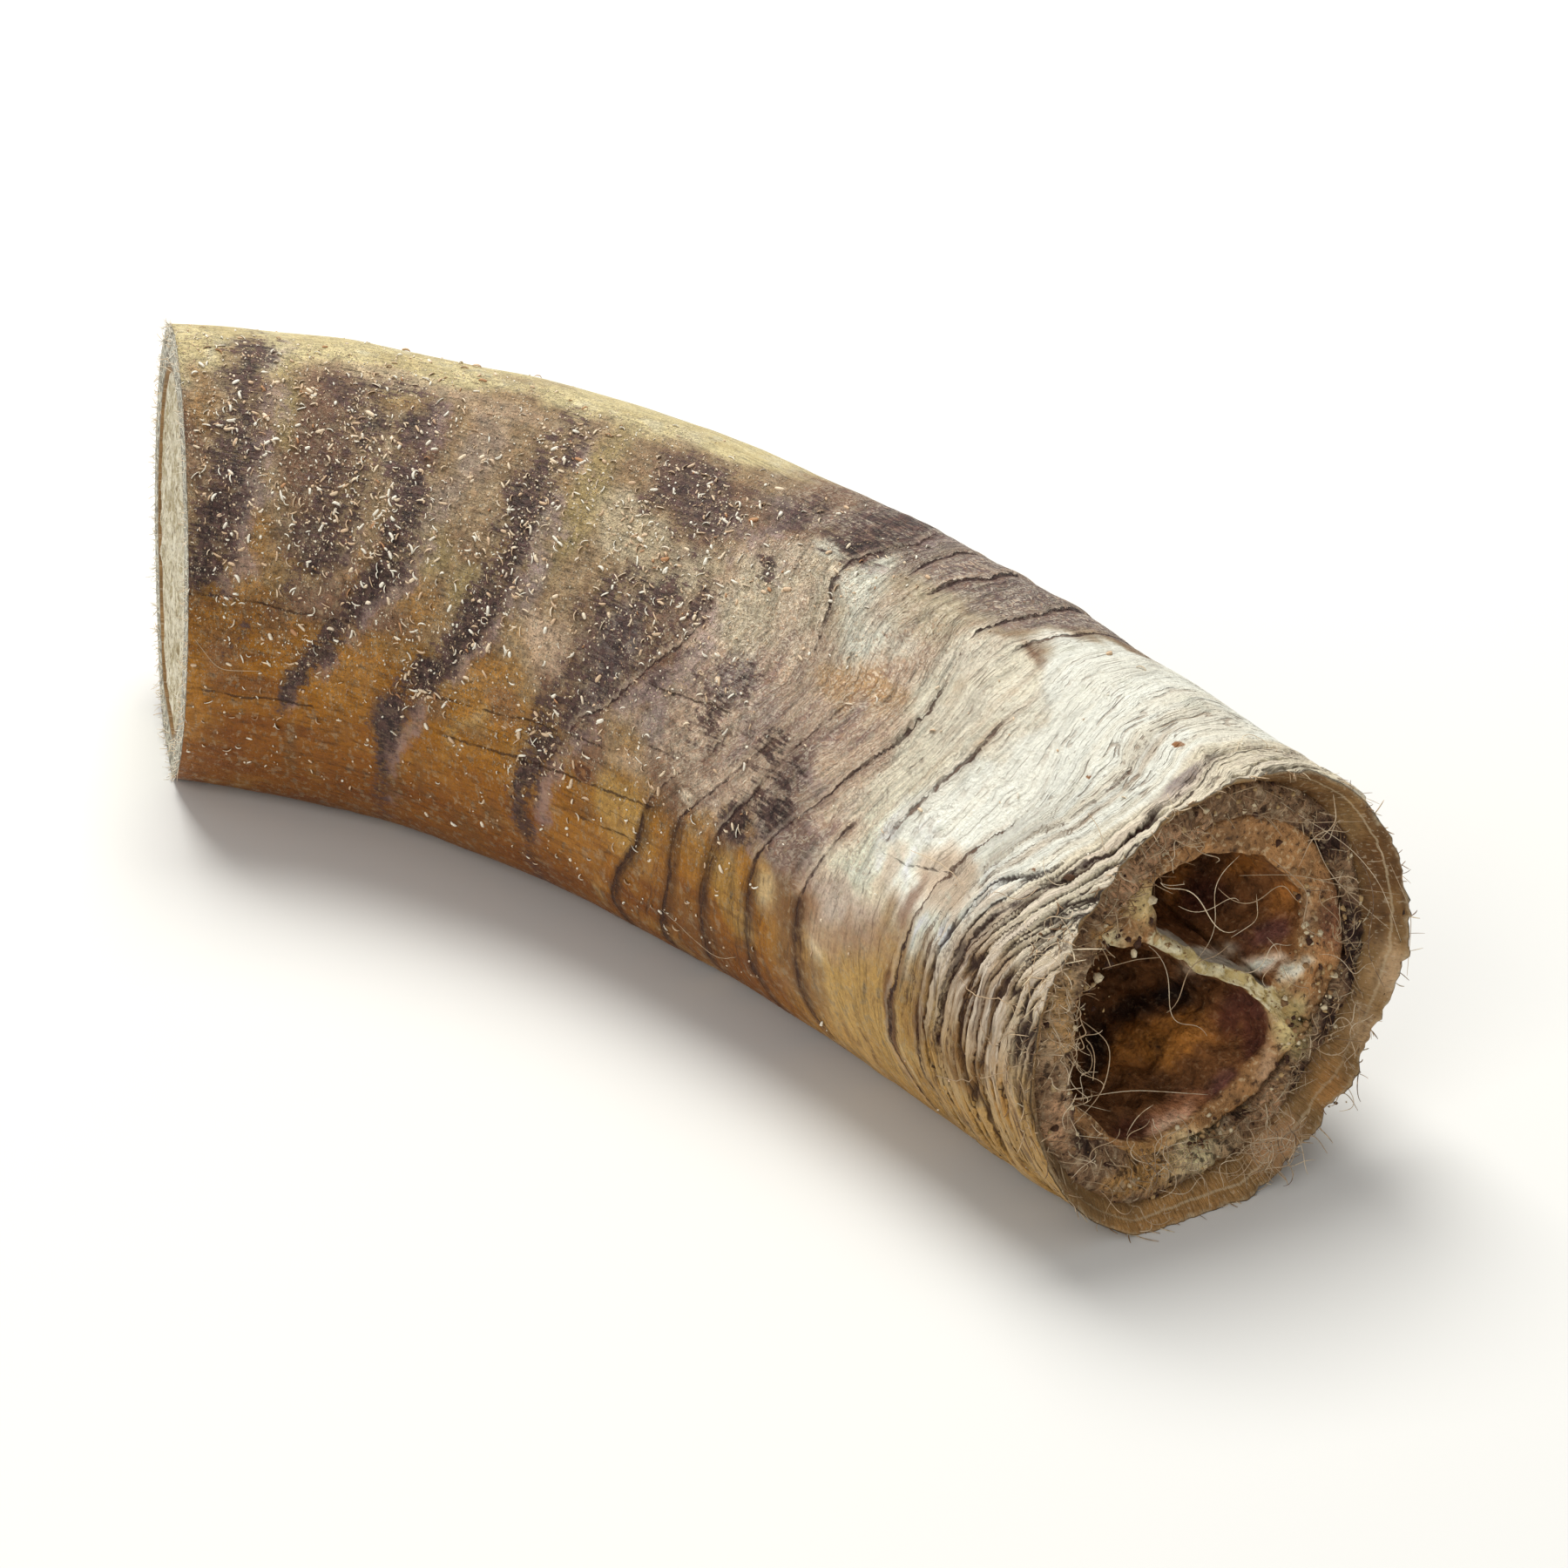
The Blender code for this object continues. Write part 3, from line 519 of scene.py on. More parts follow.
def washColours(far, sides, place, unrolled, zones):
    # ground colours laid over one another, then the patches: each a bell with an uneven edge
    slow = roughNoise(unrolled / 6.5, 101, 3)
    quick = roughNoise(unrolled / 1.9, 105, 3)
    ringwise = np.stack([place, unrolled[..., 1], unrolled[..., 2]], axis=-1)
    banded = roughNoise(ringwise / np.array([1.6, 9.0, 9.0]), 109, 3)
    lengthwise = roughNoise(unrolled / np.array([9.0, 1.5, 1.5]), 112, 3)
    rings = roughNoise(ringwise / np.array([1.1, 26.0, 26.0]), 115, 2)
    wash = np.zeros(far.shape + (3,)) + np.array(tones["body"], dtype=float)

    def lay(amount, tone):
        return laidOver(wash, amount, tone)

    wash = lay(ease(slow, 0.0, 0.7), "tan")
    wash = lay(ease(-slow, 0.0, 0.7), "umber")
    amber = ease(zones["amber"] + 0.3 * slow + 0.25 * lengthwise, 0.1, 0.9)
    wash = lay(amber, "amber")
    wash = lay(amber * ease(lengthwise, 0.1, 0.8) * 0.7, "honey")
    wash = lay(amber * ease(-lengthwise, 0.1, 0.8) * 0.6, "darkAmber")
    wash = lay(amber * ease(slow - 0.4 * quick, 0.25, 0.9) * (1.0 - ease(sides, 96.0, 112.0)) * 0.55, "redBrown")
    # painted shade: the amber is darkened down the lower side, towards the ground
    wash = lay(amber * ease(sides, 96.0, 122.0) * 0.55, "darkAmber")
    wash = lay(ease(zones["rosy"] + 0.25 * slow, 0.2, 0.8), "rose")
    wash = lay(zones["rosy"] * ease(banded + 0.5 * slow, 0.0, 0.8), "roseShade")
    wash = lay(ease(zones["low"] + 0.2 * quick, 0.1, 0.9), "low")
    wash = lay(ease(zones["woody"] + 0.2 * slow, 0.2, 0.8), "wood")
    wash = lay(zones["woody"] * ease(banded, 0.0, 0.7) * 0.8, "woodShade")
    wash = lay(ease(zones["keel"] + 0.25 * slow + 0.2 * lengthwise, 0.15, 0.9), "keel")
    wash = lay(zones["keel"] * ease(lengthwise + slow, 0.1, 1.0) * 0.7, "keelShade")
    wash = lay(ease(zones["lined"] + 0.2 * banded, 0.1, 0.7), "lined")
    wash = lay((1.0 - ease(place, 3.0, 6.0)) * (1.0 - zones["low"]) * (1.0 - 0.5 * ease(sides, 52.0, 74.0)) * 0.9, "lined")
    wash = lay(zones["lined"] * ease(rings, 0.15, 0.5) * 0.45, "lineBrown")
    wash = lay(ease(zones["cream"] + 0.25 * banded + 0.2 * slow, 0.15, 0.85), "cream")
    wash = lay(zones["cream"] * ease(rings, 0.0, 0.6) * (0.25 + 0.6 * hump(place, 7.0, 5.0)), "creamShade")
    wash = lay(zones["cream"] * ease(-rings, 0.35, 0.8) * 0.5 * hump(place, 8.0, 6.0), "lineBrown")
    for middle, angle, long, wide, slant, strength, tone in sheath["patches"]:
        away = (sides - angle) * sheath["arc"]
        reach = np.hypot((far - middle - slant * away) / long, away / wide)
        wash = lay(strength * ease(1.2 - reach + 0.3 * slow + 0.28 * quick, 0.0, 0.75), tone)
    # less light reaches the lower side, so what is seen there stands for a lighter tone
    lift = 0.94 + 0.2 * ease(sides, 20.0, 110.0)
    return linear(wash * lift[..., None])


mouthLook = {
    "seenFrom": (202.1, -265.26, 202.0),
    # soft patches as they are seen in the mouth's plane: sideways, up, half width, half height, strength, tone
    "chambers": (
        # the near-black patches are painted shadow in the upper part of the lower chamber, under the wall between the
        # chambers; the floor patches are partly painted light on the chambers' lit floors, and the orange ones partly
        # painted light shining through thin bone
        (7.3, -1.5, 6.5, 3.2, 0.9, "floor"), (10.9, -4.9, 3.0, 2.5, 0.7, "darkFloor"), (10.0, 6.0, 4.0, 1.8, 0.9, "darkFloor"),
        (6.1, 2.6, 3.6, 1.6, 1.0, "paintedShadow"), (15.4, 0.6, 1.8, 3.2, 1.0, "paintedShadow"), (11.0, 3.0, 3.0, 1.2, 0.8, "paintedShadow"),
        (2.2, 2.2, 1.2, 2.0, 0.8, "darkFloor"), (-2.4, -0.8, 3.6, 2.4, 0.95, "bay"), (-3.3, -4.2, 2.0, 3.0, 0.95, "bay"),
        (0.4, -8.3, 2.8, 2.0, 0.9, "plumBay"), (6.2, -8.2, 3.4, 1.8, 0.95, "salmon"), (6.4, -9.8, 3.4, 1.4, 0.95, "pinkWhite"), (4.6, 13.0, 2.4, 2.4, 0.9, "floor"),
        (11.7, -8.9, 2.6, 1.3, 0.8, "bay"), (2.1, 11.5, 3.6, 2.6, 0.9, "bay"), (-2.8, 13.1, 2.8, 1.7, 0.9, "orange"),
        (-7.3, 8.6, 2.2, 1.8, 0.8, "orange"), (-5.0, 5.6, 3.2, 1.5, 0.85, "plumBay"), (1.3, 5.2, 3.2, 1.2, 1.0, "grey"),
        (-4.3, 2.9, 3.2, 1.1, 0.9, "greyWhite"),
    ),
    "bone": (
        (-9.9, 5.2, 0.9, 2.8, 0.9, "bonePink"), (-12.5, 4.9, 1.9, 3.6, 0.9, "boneRed"), (-10.5, 0.8, 2.2, 2.8, 0.85, "boneOrange"),
        (-8.0, 1.4, 1.9, 1.3, 1.0, "boneWhite"), (-7.2, -3.6, 2.2, 3.6, 1.0, "boneOlive"), (-4.4, -8.0, 1.6, 3.6, 1.0, "bonePink"),
        (4.2, -12.8, 6.0, 2.0, 1.0, "boneBright"), (10.8, -12.0, 3.5, 1.8, 0.8, "crustGold"), (7.8, 12.2, 2.6, 2.2, 0.8, "boneOlive"),
        (11.9, 9.2, 2.6, 1.8, 0.9, "boneCream"), (-1.0, -12.0, 2.2, 1.4, 0.8, "boneCream"),
    ),
    "crust": (
        (10.3, 14.1, 4.5, 3.0, 0.95, "crustPink"), (18.6, 5.0, 3.4, 8.0, 0.9, "crustPale"), (5.0, 16.2, 5.5, 2.4, 0.9, "crustPink"), (-14.8, 2.1, 1.9, 5.0, 1.0, "crustDark"), (-11.8, -5.2, 1.8, 3.8, 1.0, "crustDark"),
        (-8.1, -9.6, 1.6, 2.4, 0.9, "crustDark"), (-11.5, 13.0, 3.4, 2.4, 0.9, "crustDark"), (19.5, -5.5, 2.6, 4.0, 0.8, "crustPink"),
        (15.8, -7.0, 1.6, 3.6, 0.8, "crustDark"), (4.2, -13.0, 5.0, 2.2, 1.0, "boneBright"), (10.4, -13.4, 3.6, 1.8, 0.9, "crustGold"), (-4.0, -9.8, 2.2, 2.8, 1.0, "bonePink"),
        (-7.6, -4.6, 1.8, 3.0, 0.9, "boneOlive"),
        (11.9, 9.8, 2.6, 1.8, 0.9, "crustGold"), (-5.1, -13.3, 3.4, 2.2, 0.7, "crustPink"), (17.5, 3.5, 2.0, 4.0, 0.6, "crustGold"),
    ),
    "lip": (
        # the funnelDark patches under the upper rim are partly painted shade on the inner wall there, partly its own
        # darker brown
        (-18.2, 8.2, 3.4, 5.5, 0.9, "funnelDark"), (-8.0, 17.5, 7.0, 3.0, 0.9, "funnelDark"), (-18.8, -2.0, 2.4, 3.0, 0.9, "funnelPink"),
        (-16.0, -6.4, 2.4, 2.4, 0.7, "funnelPink"), (-11.0, -10.6, 2.6, 3.6, 0.9, "funnelAmber"), (-5.1, -14.5, 3.4, 2.4, 0.7, "crustPink"),
        (7.9, -18.0, 10.0, 2.2, 0.9, "funnelGrey"), (19.0, -7.0, 3.0, 4.5, 0.7, "crustGrey"),
    ),
}


def mouthWash(points, ground, patches, amount=None):
    # a ground colour with patches, each point placed where the line of sight through it meets the mouth's plane
    _, side = endAxes(horn["length"])
    origin, normal = endPlane(horn["length"], horn["mouthTilt"], 0.0)
    sight = unit(origin - np.array(mouthLook["seenFrom"]))
    away = points - origin
    spot = away - sight * (away @ normal / (sight @ normal))[..., None]
    uneven = 0.38 * roughNoise(points / 2.2, 131, 3) + 0.22 * softNoise(points / 0.6, 135)
    amount = 1.0 if amount is None else amount
    wash = ground
    for sideways, upward, wide, high, strength, tone in patches:
        reach = np.hypot((spot @ side - sideways) / wide, (spot @ up - upward) / high)
        wash = laidOver(wash, amount * strength * ease(1.35 - reach + uneven, 0.0, 1.0), tone)
    return wash


def ringWarp(place, unrolled):
    # rings wander: a slow noise and a finer one
    return place + 0.5 * roughNoise(unrolled / 9.0, 11, 2) + 0.25 * softNoise(unrolled / np.array([2.5, 4.0, 4.0]), 14)


def countLines(lines, along, across, period=None):
    # numbers a spot by the ordered lines it lies between; also the gap there, and each line's place and darkness
    tables = [np.array(line, dtype=float) for line in lines]
    places = np.array([np.interp(along, table[:, 0], table[:, 1], period=period) for table in tables])
    darkness = np.array([np.interp(along, table[:, 0], table[:, 2], period=period) for table in tables])
    outer = 6.0
    count = np.minimum((across - places[0]) / outer, 0.0) + np.maximum((across - places[-1]) / outer, 0.0)
    gap = np.full(np.shape(across), outer)
    for first, second in zip(places[:-1], places[1:]):
        between = np.maximum(second - first, 0.8)
        share = (across - first) / between
        count = count + np.clip(share, 0.0, 1.0)
        gap = np.where((share >= 0.0) & (share < 1.0), between, gap)
    return count, gap, places, darkness


def lineValue(values, index):
    # each spot's value for the line of that number, nothing outside the lines
    inside = (index >= 0) & (index < len(values))
    chosen = np.clip(index, 0, len(values) - 1).astype(int)
    picked = np.take_along_axis(values, chosen[None], axis=0)[0]
    return picked * inside


def ringHeights(count, gap, darkness, place, sides, far, unrolled):
    # a step up behind each growth line that sinks again, a trench in it, and crowded grooves by the mouth
    behind = (count - np.floor(count)) * gap
    off = (count - np.round(count)) * gap
    step = lineValue(darkness, np.floor(count)) * ease(behind, 0.0, 0.5) * np.exp(-behind / sheath["stepLength"])
    patchy = (0.75 + 0.7 * softNoise(unrolled / 6.0, 21)).clip(0.1, 1.4)
    trench = lineValue(darkness, np.round(count)) * np.exp(-((off / 0.35) ** 2)) * patchy
    ringwise = np.stack([place, unrolled[..., 1], unrolled[..., 2]], axis=-1)
    groove = roughNoise(ringwise / np.array([0.95, 9.5, 9.5]), 31, 3)
    thread = roughNoise(ringwise / np.array([0.55, 7.0, 7.0]), 36, 2)
    crowd = 1.0 - ease(place - 4.5 * ease(sides, 36.0, 62.0), 0.6, 4.5)
    fine = np.clip(crowd + (0.5 + 0.4 * hump(place, 8.0, 5.0)) * ease(place, 3.0, 5.0) * (1.0 - ease(place, 50.0, 62.0)), 0.0, 1.0)
    deep = np.exp(-((groove / 0.16) ** 2))
    thin = np.exp(-((thread / 0.25) ** 2))
    worn = (1.0 - 0.97 * ease(sides, 58.0, 80.0) * ease(far, 24.0, 34.0)) * (count < len(darkness) - 1.6)
    smooth = 1.0 - 0.6 * ease(30.0 - place, 0.0, 4.0) * ease(place, 2.0, 5.0)
    height = (sheath["stepHeight"] * step * patchy - sheath["trenchDepth"] * trench) * worn * smooth
    height = height - sheath["grooveHeight"] * (deep - 0.35) * crowd - sheath["threadHeight"] * thin * fine
    height = height + 0.12 * crowd * softNoise(ringwise / np.array([3.0, 7.0, 7.0]), 39)
    return height, groove, thread, crowd, fine


def stripeMask(fromMouth, side, grain):
    # the darkest of the stripes, each a bell across its own winding line, and the haze beside it
    dark = 0.0
    haze = 0.0
    for stripe in sheath["stripes"]:
        table = np.array(stripe, dtype=float)
        middle, width, strength = [np.interp(side, table[:, 0], table[:, column]) for column in (1, 2, 3)]
        inside = (side > table[0, 0]) & (side < table[-1, 0])
        off = (fromMouth - middle) / width
        dark = np.maximum(dark, inside * strength * np.exp(-np.abs(off) ** 2.2))
        haze = np.maximum(haze, inside * strength.clip(0.0, 1.0) * hump(fromMouth, middle - 1.25 * width, 0.8 * width))
    for index, middle in enumerate(sheath["backStripes"]):
        slant = middle + 3.0 * sine(side * 2.0 + 40.0 * index)
        strength = 0.7 * ease(np.abs(side), 60.0, 95.0) * ease(-side, 30.0, 80.0)
        dark = np.maximum(dark, strength * np.exp(-np.abs((fromMouth - slant) / 3.4) ** 2.4))
    return dark * (1.0 + 0.5 * grain).clip(0.3, 1.4), haze * (0.7 + 0.9 * grain).clip(0.0, 1.2)


def keratinZones(far, sides, place):
    # soft masks for the parts of the horn that differ in colour
    keelEdge = np.interp(far, *np.array(sheath["keelEdge"], dtype=float).T)
    creamEdge = np.interp(sides, *np.array(sheath["creamEdge"], dtype=float).T)
    nearSide = 1.0 - ease(sides, 66.0, 92.0)
    zones = {}
    zones["keel"] = (1.0 - ease(sides - keelEdge, -8.0, 6.0)) * ease(far, 52.0, 74.0) * (1.0 - ease(-sides, 62.0, 90.0))
    zones["amber"] = np.maximum(ease(sides + 0.35 * (far - 100.0).clip(-20.0, 30.0), 56.0, 104.0) * ease(far, 24.0, 46.0),
                                ease(-sides, 75.0, 120.0) * ease(far, 20.0, 50.0))
    zones["rosy"] = ease(far, 22.0, 34.0) * (1.0 - ease(far, 50.0, 74.0)) * ease(sides, -10.0, 8.0) * (1.0 - ease(sides, 72.0, 90.0))
    zones["woody"] = ease(far - creamEdge, -1.0, 5.0) * (1.0 - ease(far, 50.0, 70.0)) * ease(-sides, -2.0, 12.0)
    zones["cream"] = ease(place, 2.0, 4.5) * (1.0 - ease(far - creamEdge, -3.5, 3.0)) * nearSide * (1.0 - ease(-sides, 50.0, 85.0))
    zones["lined"] = ease(far - creamEdge, -3.5, 1.0) * (1.0 - ease(far, 27.0, 36.0)) * ease(sides, -8.0, 4.0) * (1.0 - ease(sides, 72.0, 100.0))
    zones["low"] = (1.0 - ease(far, 28.0, 46.0)) * np.maximum(ease(sides, 80.0, 106.0), ease(-sides, 70.0, 100.0))
    zones["dusty"] = ease(far, 36.0, 60.0) * ease(sides, -25.0, -5.0) * (1.0 - ease(sides, 70.0, 115.0))
    return zones


def keratinSpots(far, sides):
    # small oval knots and stains; a knot is paler in its middle
    spots = 0.0
    for middle, angle, long, short, kind in sheath["spots"]:
        off = np.hypot((far - middle) / long, (sides - angle) * sheath["arc"] / short)
        spots = np.maximum(spots, kind * (1.0 - ease(off, 0.75, 1.25)) - 0.6 * (kind > 0.9) * (1.0 - ease(off, 0.2, 0.6)))
    return spots


def makeSheath():
    print("sheath: working out the surface")
    angle = np.linspace(0.0, 360.0, sheath["around"], endpoint=False)
    side = ((angle + 180.0) % 360.0 - 180.0)[None, :]
    spans = [np.linspace(a, b, n, endpoint=False) for a, b, n in sheath["rows"]]
    fromMouth = np.concatenate([*spans, [horn["length"]]])[::-1][:, None]
    sawn = endPlane(0.0, horn["sawnTilt"], 0.0)
    mouth = endPlane(horn["length"], horn["mouthTilt"], 0.0)
    first = stationsOn(sawn, 0.0, angle, 0.0)
    last = stationsOn(mouth, horn["length"], angle, 0.0)
    ring = np.stack([0.0 * angle, 21.0 * sine(angle), 21.0 * cosine(angle)], axis=-1)
    ragged = 0.4 * roughNoise(ring / 1.5, 71, 3) * (1.0 + hump(side[0], -75.0, 60.0)) + 0.3 * softNoise(ring / 6.0, 75)
    station = first + (last - first) * (1.0 - fromMouth / horn["length"])
    station = station + ragged * np.exp(-fromMouth / 1.5)

    far = np.broadcast_to(fromMouth, station.shape)
    unrolled = np.stack([far, np.broadcast_to(ring[:, 1], far.shape), np.broadcast_to(ring[:, 2], far.shape)], axis=-1)
    sides = np.broadcast_to(side, far.shape)
    shaken = far + 0.45 * softNoise(unrolled / 6.0, 16) + 0.2 * roughNoise(unrolled / 1.7, 17, 2)
    count, gap, places, darkness = countLines(sheath["lines"], sides, shaken, 360.0)
    onTop, _, topPlaces, _ = countLines(sheath["lines"], sheath["onTop"], 0.0, 360.0)
    numbered = np.interp(count, np.arange(len(topPlaces)), topPlaces)
    place = numbered + np.minimum(shaken - places[0], 0.0) + np.maximum(shaken - places[-1], 0.0)
    place = ringWarp(place, unrolled)
    height, groove, thread, crowd, fine = ringHeights(count, gap, darkness, place, sides, far, unrolled)
    swelling = 0.28 * roughNoise(unrolled / 13.0, 41, 2) + 0.06 * softNoise(unrolled / 2.5, 45)
    swelling = swelling + 0.1 * softNoise(unrolled / np.array([30.0, 3.5, 3.5]), 47) * ease(far, 30.0, 60.0)
    height = height + swelling - 0.15 * ease(50.0 - far, 0.0, 30.0)
    shaky = sides * sheath["arc"] + 0.12 * roughNoise(unrolled / np.array([2.0, 6.0, 6.0]), 55, 2)
    crackRows = [[(a, b * sheath["arc"], c) for a, b, c in crack] for crack in sheath["cracks"]]
    splitCount, splitGap, _, splitDark = countLines(crackRows, far, shaky)
    splitOff = (splitCount - np.round(splitCount)) * splitGap
    splits = lineValue(splitDark, np.round(splitCount))
    height = height - 0.15 * splits * np.exp(-((splitOff / 0.45) ** 2))
    underneath = hump(np.abs(sides), 180.0, 34.0)
    height = height * (1.0 - 0.85 * underneath) * ease(far, 0.0, 0.4) * ease(horn["length"] - far, 0.0, 1.2)
    outside = pointAt(station, angle[None, :], radiusAt(station, angle[None, :], height))

    # the lip slopes in like a funnel, then the inner wall runs back to the sawn face
    inner = []
    lipDepth = []
    for depth, shift in sheath["lip"][1:]:
        rough = (0.12 * softNoise(ring / 1.7 + depth * 3.0, 77) + 0.12 * roughNoise(ring / 1.1 + depth * 2.1, 78, 2)) * min(depth, 1.0)
        plane = endPlane(horn["length"], horn["mouthTilt"], shift)
        on = stationsOn(plane, horn["length"], angle, depth) + ragged * math.exp(-depth / 0.9)
        inner.append(pointAt(on, angle, radiusAt(on, angle) - depth + rough))
        lipDepth.append(depth)
    firstIn = stationsOn(sawn, 0.0, angle, wall)
    lastIn = stationsOn(endPlane(horn["length"], horn["mouthTilt"], -4.6), horn["length"], angle, wall)
    for share in np.linspace(1.0, 0.0, 10):
        on = firstIn + (lastIn - firstIn) * share
        inner.append(pointAt(on, angle, radiusAt(on, angle) - wall(on)))
        lipDepth.append(4.0)
    for depth in (3.9, 3.1, 2.2, 1.4, 0.7, 0.25):
        burr = 0.16 * roughNoise(ring / 1.1 + depth * 2.0, 79, 2)
        on = stationsOn(endPlane(0.0, horn["sawnTilt"], 0.0), 0.0, angle, depth) - 0.5 * np.abs(burr)
        inner.append(pointAt(on, angle, radiusAt(on, angle) - depth))
        lipDepth.append(-depth)
    rings = np.concatenate([outside, np.array(inner)])
    extra = len(inner)

    def padded(values):
        return np.concatenate([values, np.zeros((extra, values.shape[1]))])

    def onInner(values):
        return np.concatenate([0.0 * far, np.broadcast_to(values, (extra, len(angle)))])

    piece = surface("sheath_outside", rings.reshape(-1, 3), [gridFaces(len(rings), len(angle), True)], keratinFinish())
    inside = np.array(lipDepth)[:, None]
    spread = padded(unrolled[..., 0]) - onInner(inside)
    around = np.concatenate([unrolled[..., 1:], np.broadcast_to(ring[:, 1:], (extra, len(angle), 2))])
    paint(piece, "unrolled", np.concatenate([spread[..., None], around], axis=-1))
    paint(piece, "ringwise", np.concatenate([padded(place)[..., None], around], axis=-1))
    paint(piece, "threads", np.stack([padded(groove), padded(thread), padded(fine)], axis=-1))
    paint(piece, "lines", np.stack([padded(count) - 9.0 * onInner(1.0), padded(gap), padded(splitOff) + 3.0 * onInner(1.0)], axis=-1))
    # the edges of the coloured parts wander by a few millimetres
    strayFar = far + 3.0 * softNoise(unrolled / 7.0, 91) + 1.4 * roughNoise(unrolled / 2.4, 92, 2)
    straySide = sides + (2.6 * softNoise(unrolled / 6.0, 95) + 1.2 * roughNoise(unrolled / 2.2, 96, 2)) / sheath["arc"]
    zones = keratinZones(strayFar, straySide, place)
    strayStripe = far + 0.8 * softNoise(unrolled / 4.0, 97) + 0.7 * roughNoise(unrolled / 1.8, 98, 2)
    dark, haze = stripeMask(strayStripe, straySide * 0.35 + sides * 0.65, roughNoise(unrolled / 2.6, 99, 3))
    ringDark = lineValue(darkness, np.round(count)) * ease(far, 0.5, 1.5)
    wash = np.ones(rings.shape[:2] + (4,))
    wash[:len(far), :, :3] = washColours(far, sides, place, unrolled, zones)
    innerPoints = rings[len(far):]
    funnel = np.zeros(innerPoints.shape) + np.array(tones["funnel"], dtype=float)
    wash[len(far):, :, :3] = linear(mouthWash(innerPoints, funnel, mouthLook["lip"]))
    paint(piece, "wash", wash)
    edgeSide = ease(sides, 82.0, 96.0) * ease(far, 20.0, 36.0)
    calmed = np.maximum(np.maximum(zones["cream"], 0.55 * zones["lined"]), 0.5 * zones["keel"])
    flaky = np.maximum(zones["woody"], np.maximum(zones["rosy"], 0.35 * zones["lined"]))
    shownCrowd = crowd * (1.0 - 0.5 * ease(14.0 - sides, 0.0, 22.0) * (1.0 - ease(-sides, 60.0, 90.0)))
    for name, parts in (("tone", (zones["amber"], calmed, flaky, edgeSide)), ("marks", (dark, haze, shownCrowd, ringDark)),
                        ("details", (zones["low"], zones["dusty"], keratinSpots(far, sides), splits))):
        paint(piece, name, np.stack([padded(part) for part in parts], axis=-1))
    lowSide = onInner(np.broadcast_to(np.maximum(hump(np.abs(side), 180.0, 60.0), hump(side, -60.0, 55.0)), (extra, len(angle))))
    lip = onInner(np.clip(inside / 0.45, 0.0, 1.0))
    sawnFace = onInner((inside < 0.0) * 1.0)
    paint(piece, "ends", np.stack([lip, sawnFace, onInner(np.clip(inside, 0.0, 4.0) / 4.0), lowSide], axis=-1))
    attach(piece, "root")
    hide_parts("horn_sheath")
    return fromMouth[:, 0], angle, outside, ragged


